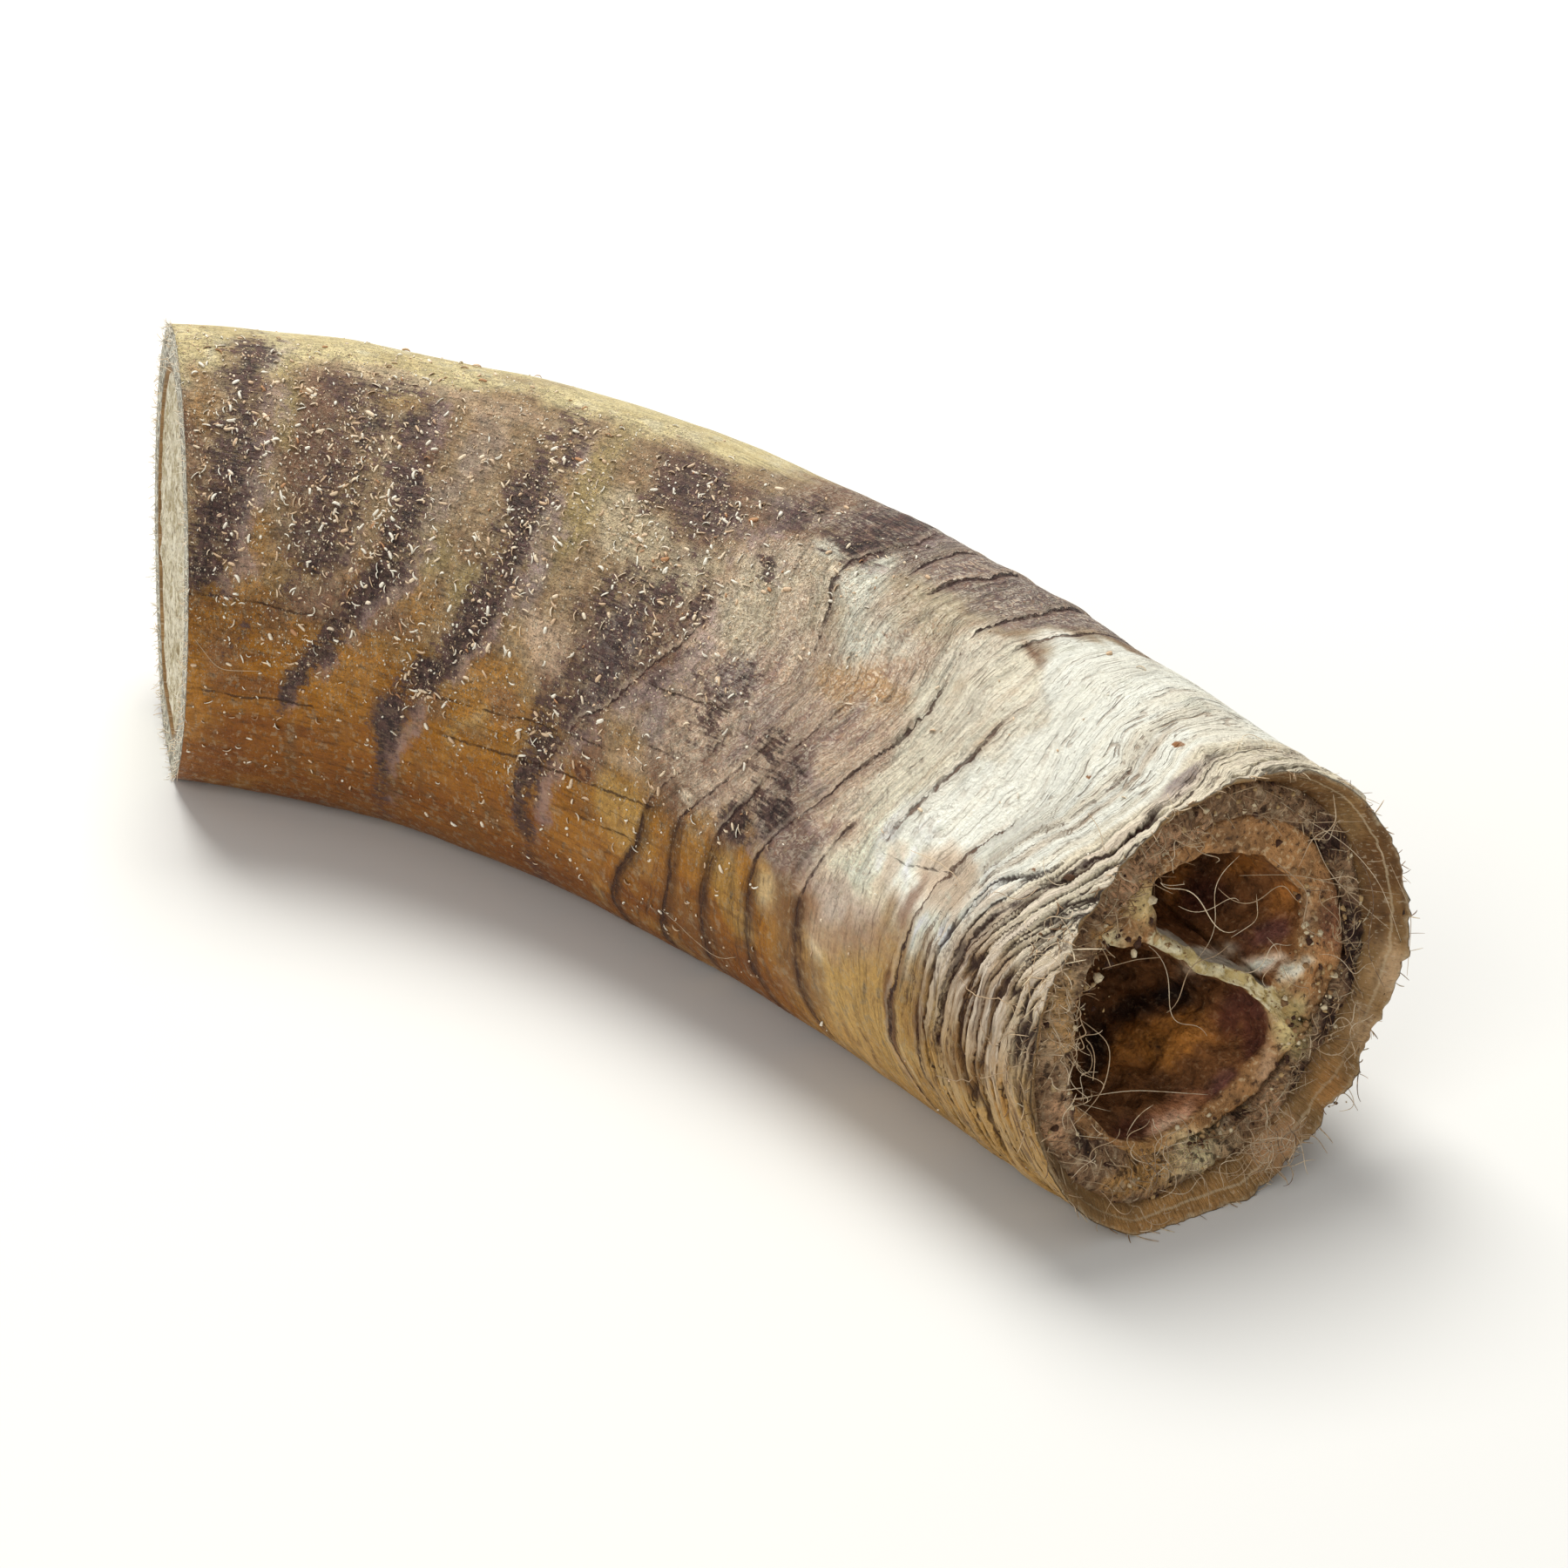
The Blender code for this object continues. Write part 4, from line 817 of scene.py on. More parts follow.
def keratinFinish():
    k = Finish("horn_keratin", 0.52, 0.25)
    unrolled = k.read("unrolled").outputs["Vector"]
    ringwise = k.read("ringwise").outputs["Vector"]
    where = k.node("ShaderNodeTexCoord").outputs["Object"]
    wash = k.read("wash").outputs["Color"]
    amber, cream, flaky, edgeSide = k.channels("tone")
    dark, haze, crowd, ringDark = k.channels("marks")
    low, dusty, spots, splits = k.channels("details")
    lip, sawnFace, inDepth, lowSide = k.channels("ends")
    groove, thread, fine = k.node("ShaderNodeSeparateXYZ", (k.read("threads").outputs["Vector"],)).outputs
    count, gap, splitOff = k.node("ShaderNodeSeparateXYZ", (k.read("lines").outputs["Vector"],)).outputs

    fibre = k.noise(k.vector("MULTIPLY", unrolled, (0.12, 1.5, 1.5)), 1.0, 4.0, 0.65)     # along the horn
    dash = k.noise(k.vector("MULTIPLY", unrolled, (0.55, 2.8, 2.8)), 1.0, 3.0, 0.6)       # short strokes along it
    streak = k.noise(k.vector("MULTIPLY", ringwise, (1.3, 0.17, 0.17)), 1.0, 4.0, 0.65)   # along the rings
    hatch = k.noise(k.vector("MULTIPLY", ringwise, (3.4, 0.5, 0.5)), 1.0, 3.0, 0.65)
    blotch = k.noise(unrolled, 0.3, 4.0, 0.6)
    tint = k.noise(k.vector("ADD", unrolled, (70.0, 0.0, 0.0)), 0.34, 3.0, 0.6)
    mottle = k.noise(unrolled, 1.1, 4.0, 0.65)
    speck = k.noise(unrolled, 3.2, 3.0, 0.6)

    def times(first, second):
        return k.math("MULTIPLY", first, second)

    def centred(noise, weight):
        # a noise round zero
        return times(k.math("SUBTRACT", noise, 0.5), weight)

    # the painted colours, with darker and lighter strokes: along the horn far from the mouth, along the rings nearer it
    ringed = k.math("MAXIMUM", fine, flaky)
    calm = k.between(cream, 0.3, 0.8, 1.0, 0.45)
    strokes = k.node("ShaderNodeMix", (k.between(ringed, 0.15, 0.5), None, dash, streak)).outputs[0]
    colour = k.mix(times(times(k.between(strokes, 0.5, 0.64), calm), 0.5), wash, k.vector("MULTIPLY", wash, (0.5, 0.5, 0.5)))
    colour = k.mix(times(times(k.between(mottle, 0.5, 0.62), calm), 0.32), colour, shade(92, 64, 50))
    colour = k.mix(times(times(k.between(mottle, 0.48, 0.36), calm), 0.3), colour, shade(206, 184, 148))
    colour = k.mix(times(times(k.between(fibre, 0.54, 0.66), amber), 0.45), colour, shade(98, 58, 22))
    colour = k.mix(times(k.between(blotch, 0.56, 0.68), times(cream, 0.5)), colour, shade(214, 214, 196))

    # thin flakes in the middle part, each a little paler or darker than its neighbours
    drift = k.node("ShaderNodeTexNoise", (ringwise,))
    drift.inputs["Scale"].default_value = 0.8
    flakeSpot = k.vector("ADD", k.vector("MULTIPLY", ringwise, (0.85, 0.34, 0.34)), k.vector("MULTIPLY", drift.outputs["Color"], (2.4, 2.4, 2.4)))
    flake = k.node("ShaderNodeTexVoronoi", (flakeSpot,))
    flakeTone, flakePlace, _ = k.node("ShaderNodeSeparateColor", (flake.outputs["Color"],)).outputs
    colour = k.mix(times(times(k.between(flakeTone, 0.45, 0.85), flaky), 0.45), colour, shade(232, 220, 198))
    colour = k.mix(times(times(k.between(flakeTone, 0.3, 0.05), flaky), 0.4), colour, shade(112, 86, 80))
    colour = k.mix(times(times(k.between(flakePlace, 0.75, 0.9), flaky), 0.35), colour, shade(178, 140, 106))

    # grey-violet haze, and purple-brown stripes that break up into patches
    hazeAmount = k.math("ADD", haze, times(k.math("ADD", centred(blotch, 1.6), centred(mottle, 1.2)), k.between(haze, 0.0, 0.3)))
    colour = k.mix(times(k.between(hazeAmount, 0.2, 0.9), 0.55), colour, shade(158, 138, 136))
    stripeTone = k.mix(k.between(mottle, 0.4, 0.6), shade(42, 26, 27), shade(84, 62, 57))
    stripeTone = k.mix(times(k.between(dash, 0.48, 0.38), 0.55), stripeTone, shade(142, 116, 96))
    shakes = k.math("ADD", k.math("ADD", centred(blotch, 2.0), centred(mottle, 2.2)), k.math("ADD", centred(dash, 2.4), centred(speck, 1.2)))
    ragged = k.math("ADD", dark, times(shakes, k.between(dark, 0.0, 0.3)))
    colour = k.mix(times(k.between(ragged, 0.1, 0.85), 0.96), colour, stripeTone)

    # fine light and shade over everything
    gain = k.math("ADD", times(centred(speck, 0.7), calm), times(centred(mottle, 1.4), calm))
    gain = k.math("ADD", gain, times(centred(strokes, 2.2), calm))
    gain = k.math("ADD", gain, times(centred(hatch, 1.1), times(fine, calm)))
    colour = k.scale(colour, k.math("ADD", gain, 1.0))

    # crowded rings: dark grooves where the stretched noise passes zero, pale crests between, fine threads further back
    crestTone = k.mix(low, shade(246, 230, 208), shade(208, 174, 122))
    crest = times(k.between(k.math("ABSOLUTE", groove), 0.2, 0.46), k.between(crowd, 0.25, 0.8))
    colour = k.mix(times(crest, k.between(streak, 0.38, 0.58, 0.95, 0.3)), colour, crestTone)
    thin = times(k.between(k.math("ABSOLUTE", thread), 0.18, 0.03), k.between(fine, 0.1, 0.9))
    thin = times(thin, k.between(k.math("ADD", tint, centred(mottle, 0.6)), 0.42, 0.6))
    threadTone = k.mix(cream, shade(104, 76, 60), shade(146, 120, 96))
    colour = k.mix(times(thin, 0.65), colour, threadTone)
    deep = times(k.between(k.math("ABSOLUTE", groove), 0.24, 0.04), k.between(crowd, 0.15, 0.7))
    deep = times(deep, k.between(blotch, 0.36, 0.5, 0.7, 1.0))
    deepTone = k.mix(low, shade(58, 36, 32), shade(62, 38, 22))
    colour = k.mix(times(deep, 0.92), colour, deepTone)

    # single growth lines: a soft brown stain on the mouth's side, partly painted shade below each raised step; a pale
    # lip behind, a painted highlight on the step's edge; and the thin broken line itself, partly painted shade of the
    # step's face
    off = k.math("ADD", times(k.math("SUBTRACT", count, k.math("ROUND", count)), gap), centred(mottle, 0.9))
    shaken = k.math("ADD", ringDark, k.math("ADD", centred(blotch, 1.7), centred(mottle, 1.3)))
    broken = k.between(shaken, 0.4, 1.05)
    calmLine = k.between(cream, 0.2, 0.7, 1.0, 0.5)
    softly = k.between(edgeSide, 0.2, 0.8)
    stainAndShadeReach = k.between(softly, 0.0, 1.0, -1.3, -2.0)
    stainAndShade = k.between(k.math("DIVIDE", off, stainAndShadeReach), 1.0, 0.2)
    near = k.between(k.math("DIVIDE", off, k.between(softly, 0.0, 1.0, 0.3, 1.3)), 1.0, 0.0)
    stainAndShade = times(times(stainAndShade, near), k.between(shaken, 0.1, 1.0))
    stainAndShade = times(stainAndShade, k.between(k.math("ADD", strokes, times(softly, -0.04)), 0.4, 0.5, 0.55, 1.0))
    stainAndShadeTone = k.mix(softly, shade(112, 76, 60), shade(70, 40, 18))
    # partly painted shade: the brown stain on the lower level just on the mouth's side of each step
    colour = k.mix(times(times(stainAndShade, calmLine), k.between(softly, 0.0, 1.0, 0.4, 0.95)), colour, stainAndShadeTone)
    # painted highlight: the pale lip on the raised edge just behind each line
    pale = times(times(k.between(off, 0.15, 0.4), k.between(off, 1.0, 0.5)), times(broken, k.between(softly, 0.0, 1.0, 0.28, 0.0)))
    colour = k.mix(pale, colour, shade(222, 200, 174))
    width = k.between(tint, 0.38, 0.62, 0.1, 0.3)
    width = times(width, k.between(ringDark, 0.3, 1.0, 0.5, 1.25))
    # the thin dark line itself, partly painted shade along the face of each step
    crack = times(k.between(k.math("DIVIDE", k.math("ABSOLUTE", off), width), 1.0, 0.35), broken)
    crack = times(crack, k.between(softly, 0.0, 1.0, 0.92, 0.5))
    crackAndShadeTone = k.mix(k.between(cream, 0.3, 0.8), shade(54, 28, 24), shade(112, 84, 66))
    colour = k.mix(crack, colour, crackAndShadeTone)

    # cracks along the horn
    splitLine = k.math("ABSOLUTE", k.math("ADD", splitOff, centred(mottle, 0.6)))
    splitAmount = k.math("ADD", splits, k.math("ADD", centred(dash, 2.0), centred(blotch, 1.4)))
    line = times(k.between(splitLine, 0.17, 0.04), k.between(splitAmount, 0.45, 0.9))
    colour = k.mix(times(line, 0.8), colour, shade(62, 36, 22))

    # a crusty skin where dust has settled, its lumps paler than the pits
    crusty = k.noise(unrolled, 0.8, 4.0, 0.75)
    crusts = times(centred(crusty, 2.4), dusty)
    colour = k.scale(colour, k.math("ADD", crusts, k.between(dusty, 0.0, 1.0, 1.0, 1.06)))

    # small knots and stains, and the finest dust
    knot = k.math("ADD", spots, times(centred(mottle, 0.8), k.between(spots, 0.0, 0.1)))
    colour = k.mix(k.between(knot, 0.2, 0.5), colour, shade(150, 104, 64))
    colour = k.mix(times(k.between(knot, 0.6, 0.9), 0.9), colour, shade(92, 54, 32))
    dust = k.node("ShaderNodeTexVoronoi", (unrolled,), feature="F1")
    dust.inputs["Scale"].default_value = 1.9
    grain = times(k.between(dust.outputs["Distance"], 0.3, 0.18), k.between(k.noise(unrolled, 0.7, 2.0), 0.42, 0.52))
    powder = k.node("ShaderNodeTexVoronoi", (unrolled,), feature="F1")
    powder.inputs["Scale"].default_value = 3.3
    grain = k.math("MAXIMUM", grain, times(k.between(powder.outputs["Distance"], 0.34, 0.2), k.between(crusty, 0.44, 0.56)))
    dustTone = k.mix(k.node("ShaderNodeSeparateColor", (dust.outputs["Color"],)).outputs[0], shade(196, 160, 124), shade(250, 236, 208))
    colour = k.mix(times(times(grain, dusty), 0.88), colour, dustTone)

    # the lip and inner wall, and the sawn face
    innerNoise = k.noise(k.vector("MULTIPLY", unrolled, (1.2, 0.25, 0.25)), 1.0, 4.0, 0.65)
    funnel = k.scale(wash, k.between(innerNoise, 0.35, 0.65, 0.78, 1.18))
    funnel = k.mix(times(k.between(speck, 0.56, 0.66), 0.4), funnel, shade(84, 60, 42))
    funnel = k.mix(times(k.between(speck, 0.42, 0.34), 0.4), funnel, shade(222, 204, 174))
    seam = k.math("ABSOLUTE", k.math("ADD", k.math("SUBTRACT", inDepth, 0.26), centred(mottle, 0.06)))
    edge = times(k.between(k.math("ADD", inDepth, centred(mottle, 0.2)), 0.1, 0.0), k.between(lowSide, 0.1, 0.5))
    funnel = k.mix(k.math("MAXIMUM", edge, times(times(k.between(seam, 0.025, 0.005), lowSide), 0.6)), funnel, shade(216, 196, 160))
    colour = k.mix(lip, colour, funnel)
    sawnNoise = k.noise(where, 1300.0, 3.0, 0.65)
    sawnTone = k.mix(k.between(sawnNoise, 0.42, 0.6), shade(106, 98, 80), shade(226, 222, 202))
    sawnTone = k.mix(times(k.between(inDepth, 0.4, 0.7), 0.7), sawnTone, shade(190, 168, 124))
    sawnTone = k.mix(times(k.between(speck, 0.54, 0.64), 0.6), sawnTone, shade(120, 92, 62))
    colour = k.mix(sawnFace, colour, sawnTone)

    relief = k.math("ADD", times(strokes, 0.7), times(speck, 0.3))
    relief = k.math("ADD", relief, times(times(flakeTone, flaky), 0.45))
    relief = k.math("ADD", relief, times(mottle, 0.6))
    relief = k.math("ADD", relief, times(times(hatch, fine), 1.1))
    relief = k.math("ADD", relief, times(times(streak, k.math("ADD", crowd, flaky)), 1.1))
    relief = k.math("SUBTRACT", relief, times(crack, 1.1))
    relief = k.math("SUBTRACT", relief, times(k.math("ADD", thin, deep), 0.5))
    relief = k.math("SUBTRACT", relief, times(line, 0.6))
    relief = k.math("ADD", relief, times(times(grain, dusty), 0.8))
    normal = k.bump(relief, 0.0006, 0.8, k.bump(crusts, 0.0002, 0.7))
    rough = k.between(mottle, 0.35, 0.65, 0.42, 0.64)
    return k.finish(colour, rough, normal)


rowsFromMouth, columnAngles, outsidePoints, raggedEdge = makeSheath()

# The bony core, with two chambers open at the mouth

core = {
    "recess": 3.0,              # behind the mouth's plane
    "sawnRecess": 0.3,
    "waist": 2.1,               # thinner there, where the tissue wraps it
    "waistLength": 21.0,
    "shoulder": 5.0,
    "outline": (150, 190),      # points round the upper and the lower part
    "septumPoints": 130,
    "sag": 1.9,                 # of the wall between the chambers, towards the lower one
    "septum": ((-0.7, 2.55), 51.3, 0.66),       # a point on it (sideways, up), its direction from up, half thickness
    "upper": {"centre": (-3.5, 6.5), "depth": 15.5, "seed": 5,
              "reach": (5.5, 6.5, 8.8, 6.8, 5.0, 4.4, 4.9, 8.0, 8.4, 8.3, 6.3, 5.6)},    # every 30 degrees from up
    "lower": {"centre": (4.5, -3.5), "depth": 18.0, "seed": 9,
              "reach": (8.5, 11.5, 11.0, 11.3, 10.0, 9.7, 9.9, 9.7, 11.5, 11.4, 7.4, 6.7)},
    "edgeRows": (0.86, 0.74, 0.62, 0.5, 0.4, 0.31, 0.23, 0.16, 0.1, 0.05, 0.02, 0.0),
    "wallRows": 46,
    "floorRows": 16,
}


def coreDepth(station):
    # thickness of the sheath and a gap over it, and where the tissue is, the waist as well
    shoulder = horn["length"] - core["waistLength"] - core["shoulder"]
    return wall(station) + horn["gap"] + core["waist"] * ease(station, shoulder, shoulder + core["shoulder"])


def inMouth(flat, out, recess=0.0):
    # flat is (sideways, up) about the centre line; out is how far the point stands out of the mouth's plane
    forward, side = endAxes(horn["length"])
    origin, normal = endPlane(horn["length"], horn["mouthTilt"], -recess)
    rough = origin + flat[..., :1] * side + flat[..., 1:] * up
    slide = ((rough - origin) @ normal) / (forward @ normal)
    return rough - slide[..., None] * forward + out[..., None] * forward


def makeCore():
    print("core: working out the chambers")
    plane = endPlane(horn["length"], horn["mouthTilt"], -core["recess"])

    def outlineAt(angle):
        on = stationsOn(plane, horn["length"], angle, coreDepth)
        radius = radiusAt(on, angle) - coreDepth(on)
        return np.stack([radius * sine(angle), radius * cosine(angle)], axis=-1), on

    pool = {"points": [], "flat": [], "deep": [], "tone": []}

    def put(points, flat, deep, tone=0.0):
        # adds points with their place in the mouth, their depth and paleness, and gives back their numbers
        start = sum(len(group) for group in pool["points"])
        pool["points"].append(points)
        pool["flat"].append(np.broadcast_to(flat, (len(points), 2)))
        pool["deep"].append(np.broadcast_to(deep, len(points)))
        pool["tone"].append(np.broadcast_to(tone, len(points)))
        return start + np.arange(len(points))

    through, bearing, half = core["septum"]
    direction = np.array([sine(bearing), cosine(bearing)])
    across = np.array([-direction[1], direction[0]])
    angle = np.linspace(-180.0, 180.0, 3601)
    flat, _ = outlineAt(angle)
    offset = (flat - np.array(through)) @ across
    crossings = angle[:-1][np.sign(offset[:-1]) != np.sign(offset[1:])]
    near = crossings[crossings > 0][0]
    far = crossings[crossings < 0][0]
    ends, _ = outlineAt(np.array([near, far]))
    share = np.linspace(0.0, 1.0, core["septumPoints"])
    line = ends[0] + (ends[1] - ends[0]) * share[:, None]
    wander = 0.6 * roughNoise(np.stack([share * 7.0, 0.0 * share, 0.0 * share], axis=-1), 51, 3) + 0.9 * sine(150.0 * share)
    wander = wander - core["sag"] * hump(share, 0.42, 0.3)
    line = line + (wander * np.sin(np.pi * share))[:, None] * across
    upperArc = np.linspace(far, near, core["outline"][0] + 2)[1:-1]
    lowerArc = np.linspace(near, far + 360.0, core["outline"][1] + 2)[1:-1]
    edges = np.concatenate([line, outlineAt(upperArc)[0], outlineAt(lowerArc)[0]])
    edgeOut = np.concatenate([septumHeight(share), faceHeight(edges[len(line):]) * 0.8])
    middling = np.concatenate([ease(share, 0.1, 0.25) * ease(1.0 - share, 0.06, 0.16), np.zeros(len(edges) - len(line))])
    numbers = put(inMouth(edges, edgeOut, core["recess"]), edges, 0.0, middling)
    lineIndex, upperIndex, lowerIndex = np.split(numbers, [len(line), len(line) + len(upperArc)])
    groups = []

    def cell(loop, chamber, isUpper):
        centre = np.array(chamber["centre"])
        away = edges[loop] - centre
        reachEdge = np.hypot(away[:, 0], away[:, 1])
        direct = away / reachEdge[:, None]
        bearings = np.degrees(np.arctan2(direct[:, 0], direct[:, 1])) % 360.0
        table = np.interp(bearings, np.arange(13) * 30.0, chamber["reach"] + chamber["reach"][:1])
        turned = np.stack([direct[:, 0], direct[:, 1], 0.0 * bearings], axis=-1)
        table = table + 0.4 * roughNoise(turned * 3.5, chamber["seed"], 4)
        thin = reachEdge - half / np.maximum(np.abs(direct @ across), 0.4)
        septum = middling[loop]
        reach = np.minimum(table, reachEdge - 0.9 - 1.1 * hump(bearings, 240.0, 45.0)) * (1.0 - septum) + thin * septum
        for shift in (1, 2, 1):
            reach = (np.roll(reach, -shift) + 2.0 * reach + np.roll(reach, shift)) / 4.0
        membrane = septum * (1.0 if isUpper else 0.0)
        rows = [loop]
        for share in core["edgeRows"]:
            spot = centre + direct * (reach + (reachEdge - reach) * share)[:, None]
            free = faceHeight(spot) - 0.3 * (1.0 - ease(share, 0.0, 0.3))
            out = free + (edgeOut[loop] - free) * np.maximum(ease(share, 0.3, 1.0), septum * (0.5 + 0.5 * ease(share, 0.0, 0.6)))
            out = out - septum * 0.5 * (1.0 - share) ** 2
            rows.append(put(inMouth(spot, out, core["recess"]), spot, 0.0, np.maximum(septum * 0.9, membrane)))
        for step in np.linspace(0.0, 1.0, core["wallRows"])[1:]:
            deep = step * chamber["depth"]
            spot = turned * 3.0 + np.array([0.0, 0.0, deep / 3.5])
            lump = 0.09 * roughNoise(spot, chamber["seed"] + 20, 4) * ease(deep, 0.0, 4.0)
            lump = lump + 0.03 * softNoise(turned * 9.0 + np.array([0.0, 0.0, deep / 1.2]), chamber["seed"] + 25)
            spot = centre + direct * (reach * (math.sqrt(1.0 - (0.93 * step) ** 2.5) + lump))[:, None]
            rows.append(put(inMouth(spot, out * (1.0 - step) - deep, core["recess"]), spot, deep, membrane))
        narrow = math.sqrt(1.0 - 0.93 ** 2.5)
        for step in np.linspace(1.0, 0.0, core["floorRows"])[1:-1]:
            lump = roughNoise(turned * 2.5 * step + np.array([0.0, 0.0, 9.0]), chamber["seed"] + 20, 4)
            spot = centre + direct * (reach * narrow * step)[:, None]
            low = -chamber["depth"] * (1.0 + 0.06 * (1.0 - step * step)) + 0.6 * lump * (1.0 - step)
            rows.append(put(inMouth(spot, low, core["recess"]), spot, chamber["depth"]))
        pole = put(inMouth(centre[None, :], np.array([-chamber["depth"] * 1.06]), core["recess"]), centre, chamber["depth"])
        index = np.array(rows)
        a, b = index[:-1], index[1:]
        groups.append(np.stack([a, np.roll(a, -1, axis=1), np.roll(b, -1, axis=1), b], axis=-1).reshape(-1, 4))
        last = index[-1]
        groups.append(np.stack([last, np.roll(last, -1), np.full(len(last), pole[0])], axis=-1))

    # the upper cell runs along the septum from near to far, then back over the top
    cell(np.concatenate([lineIndex, upperIndex]), core["upper"], True)
    cell(np.concatenate([lineIndex[::-1], lowerIndex]), core["lower"], False)

    # the outer side: from the outline back to the sawn end, closed with a cap
    rimAngle = np.concatenate([[near], lowerArc, [far + 360.0], upperArc + 360.0])
    rimIndex = np.concatenate([lineIndex[:1], lowerIndex, lineIndex[-1:], upperIndex])
    _, rimOn = outlineAt(rimAngle)
    sawn = endPlane(0.0, horn["sawnTilt"], core["sawnRecess"])
    sawnOn = stationsOn(sawn, 0.0, rimAngle, coreDepth)
    rows = [rimIndex]
    for share in np.concatenate([[0.985, 0.96, 0.93, 0.9, 0.87], np.linspace(0.84, 0.0, 22)]):
        on = sawnOn + (rimOn - sawnOn) * share
        ring = pointAt(on, rimAngle, radiusAt(on, rimAngle) - coreDepth(on))
        rows.append(put(ring, 0.0, -1.0))
    middle = ring.mean(axis=0)
    for share in np.linspace(0.985, 0.0, 30)[:-1]:
        inward = middle + (ring - middle) * share
        pit = 0.25 * roughNoise(inward / 1.2, 61, 3)
        inward = inward + pit[:, None] * sawn[1] * ease(1.0 - share, 0.0, 0.04)
        rows.append(put(inward, 0.0, -2.0))
    pole = put(middle[None, :], 0.0, -2.0)
    index = np.array(rows)
    a, b = index[:-1], index[1:]
    groups.append(np.stack([a, b, np.roll(b, -1, axis=1), np.roll(a, -1, axis=1)], axis=-1).reshape(-1, 4))
    groups.append(np.stack([index[-1], np.full(len(rimAngle), pole[0]), np.roll(index[-1], -1)], axis=-1))

    piece = surface("bone_chambers", np.concatenate(pool["points"]), groups, boneFinish())
    flat, deep, tone = [np.concatenate(pool[name]) for name in ("flat", "deep", "tone")]
    isFace = (deep > -0.5) & (deep < 0.5)
    ridge = isFace * tone
    pale = ridge * (deep > -0.5)
    membrane = tone * (deep > 0.2) * np.exp(-((deep / 3.6) ** 2))
    inside = ease(deep, 0.1, 0.9)
    points = np.concatenate(pool["points"])
    wash = np.zeros(points.shape) + np.array(tones["boneFace"], dtype=float)
    wash = laidOver(wash, inside, "darkFloor")
    wash = mouthWash(points, wash, mouthLook["chambers"], inside)
    wash = mouthWash(points, wash, mouthLook["bone"], 1.0 - ease(deep, 0.3, 2.0))
    # the insides of the chambers are lightened by 22 percent, since less light reaches into them
    wash = linear(wash * (1.0 + 0.22 * inside[:, None]))
    paint(piece, "wash", np.concatenate([wash, np.ones((len(wash), 1))], axis=-1))
    paint(piece, "boneTone", np.stack([pale, membrane, isFace * 1.0, (deep < -1.5) * 1.0], axis=-1))
    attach(piece, "root")
    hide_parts("bone_core")


def faceHeight(flat):
    # the broken face of the bone: rough noises, in millimetres out of its plane
    spot = np.stack([flat[..., 0], flat[..., 1], 0.0 * flat[..., 0]], axis=-1)
    farSide = 1.5 * ease(-flat[..., 0], 1.0, 8.0) * ease(8.0 - flat[..., 1], 0.0, 8.0)
    return 0.45 * roughNoise(spot / 3.2, 53, 5) + 0.18 * softNoise(spot / 0.7, 59) - 0.1 + farSide


def septumHeight(share):
    # the torn edge of the thin wall between the chambers, lowest in its middle
    spot = np.stack([share * 26.0, 0.0 * share, 0.0 * share], axis=-1)
    return (-0.5 + 0.95 * roughNoise(spot / 1.8, 57, 4)) * np.sin(np.pi * share) + 1.3 * hump(share, 0.47, 0.012)


def boneFinish():
    k = Finish("horn_bone", 0.75, 0.25)
    where = k.node("ShaderNodeTexCoord").outputs["Object"]
    pale, membrane, isFace, isSawn = k.channels("boneTone")
    mottle = k.noise(where, 500.0, 5.0, 0.65)
    blotch = k.noise(where, 190.0, 4.0, 0.6)
    speck = k.noise(where, 1700.0, 3.0, 0.6)

    def times(first, second):
        return k.math("MULTIPLY", first, second)

    def centred(noise, weight):
        return times(k.math("SUBTRACT", noise, 0.5), weight)

    gain = k.math("ADD", centred(mottle, 2.2), k.math("ADD", centred(speck, 1.4), centred(blotch, 1.6)))
    colour = k.scale(k.read("wash").outputs["Color"], k.math("ADD", gain, 1.0))
    colour = k.mix(times(k.between(speck, 0.56, 0.66), k.between(isFace, 0.0, 1.0, 0.12, 0.6)), colour, shade(220, 196, 156))
    colour = k.mix(times(k.between(speck, 0.42, 0.32), k.between(isFace, 0.0, 1.0, 0.25, 0.7)), colour, shade(62, 38, 28))
    paleTone = k.mix(k.between(mottle, 0.4, 0.6), shade(212, 190, 132), shade(246, 236, 200))
    paleTone = k.mix(k.between(speck, 0.42, 0.34), paleTone, shade(150, 116, 76))
    paleAmount = k.math("ADD", pale, times(k.math("SUBTRACT", mottle, 0.5), 1.2))
    colour = k.mix(k.between(paleAmount, 0.35, 0.65), colour, paleTone)
    skin = k.mix(k.between(blotch, 0.42, 0.6), shade(176, 166, 150), shade(224, 214, 194))
    skinAmount = k.math("ADD", membrane, times(k.math("SUBTRACT", blotch, 0.5), 1.6))
    colour = k.mix(k.between(skinAmount, 0.3, 0.7), colour, skin)
    sawnTone = k.mix(k.between(mottle, 0.35, 0.65), shade(176, 160, 122), shade(238, 230, 206))
    sawnTone = k.mix(times(k.between(speck, 0.54, 0.66), 0.7), sawnTone, shade(126, 106, 76))
    sawnTone = k.mix(times(k.between(speck, 0.44, 0.36), 0.5), sawnTone, shade(248, 244, 228))
    colour = k.mix(isSawn, colour, sawnTone)
    relief = k.math("ADD", times(mottle, 0.7), times(speck, 0.5))
    return k.finish(colour, k.between(blotch, 0.4, 0.6, 0.55, 0.85), k.bump(relief, 0.0009, 0.9))


makeCore()

# The dried tissue between bone and sheath

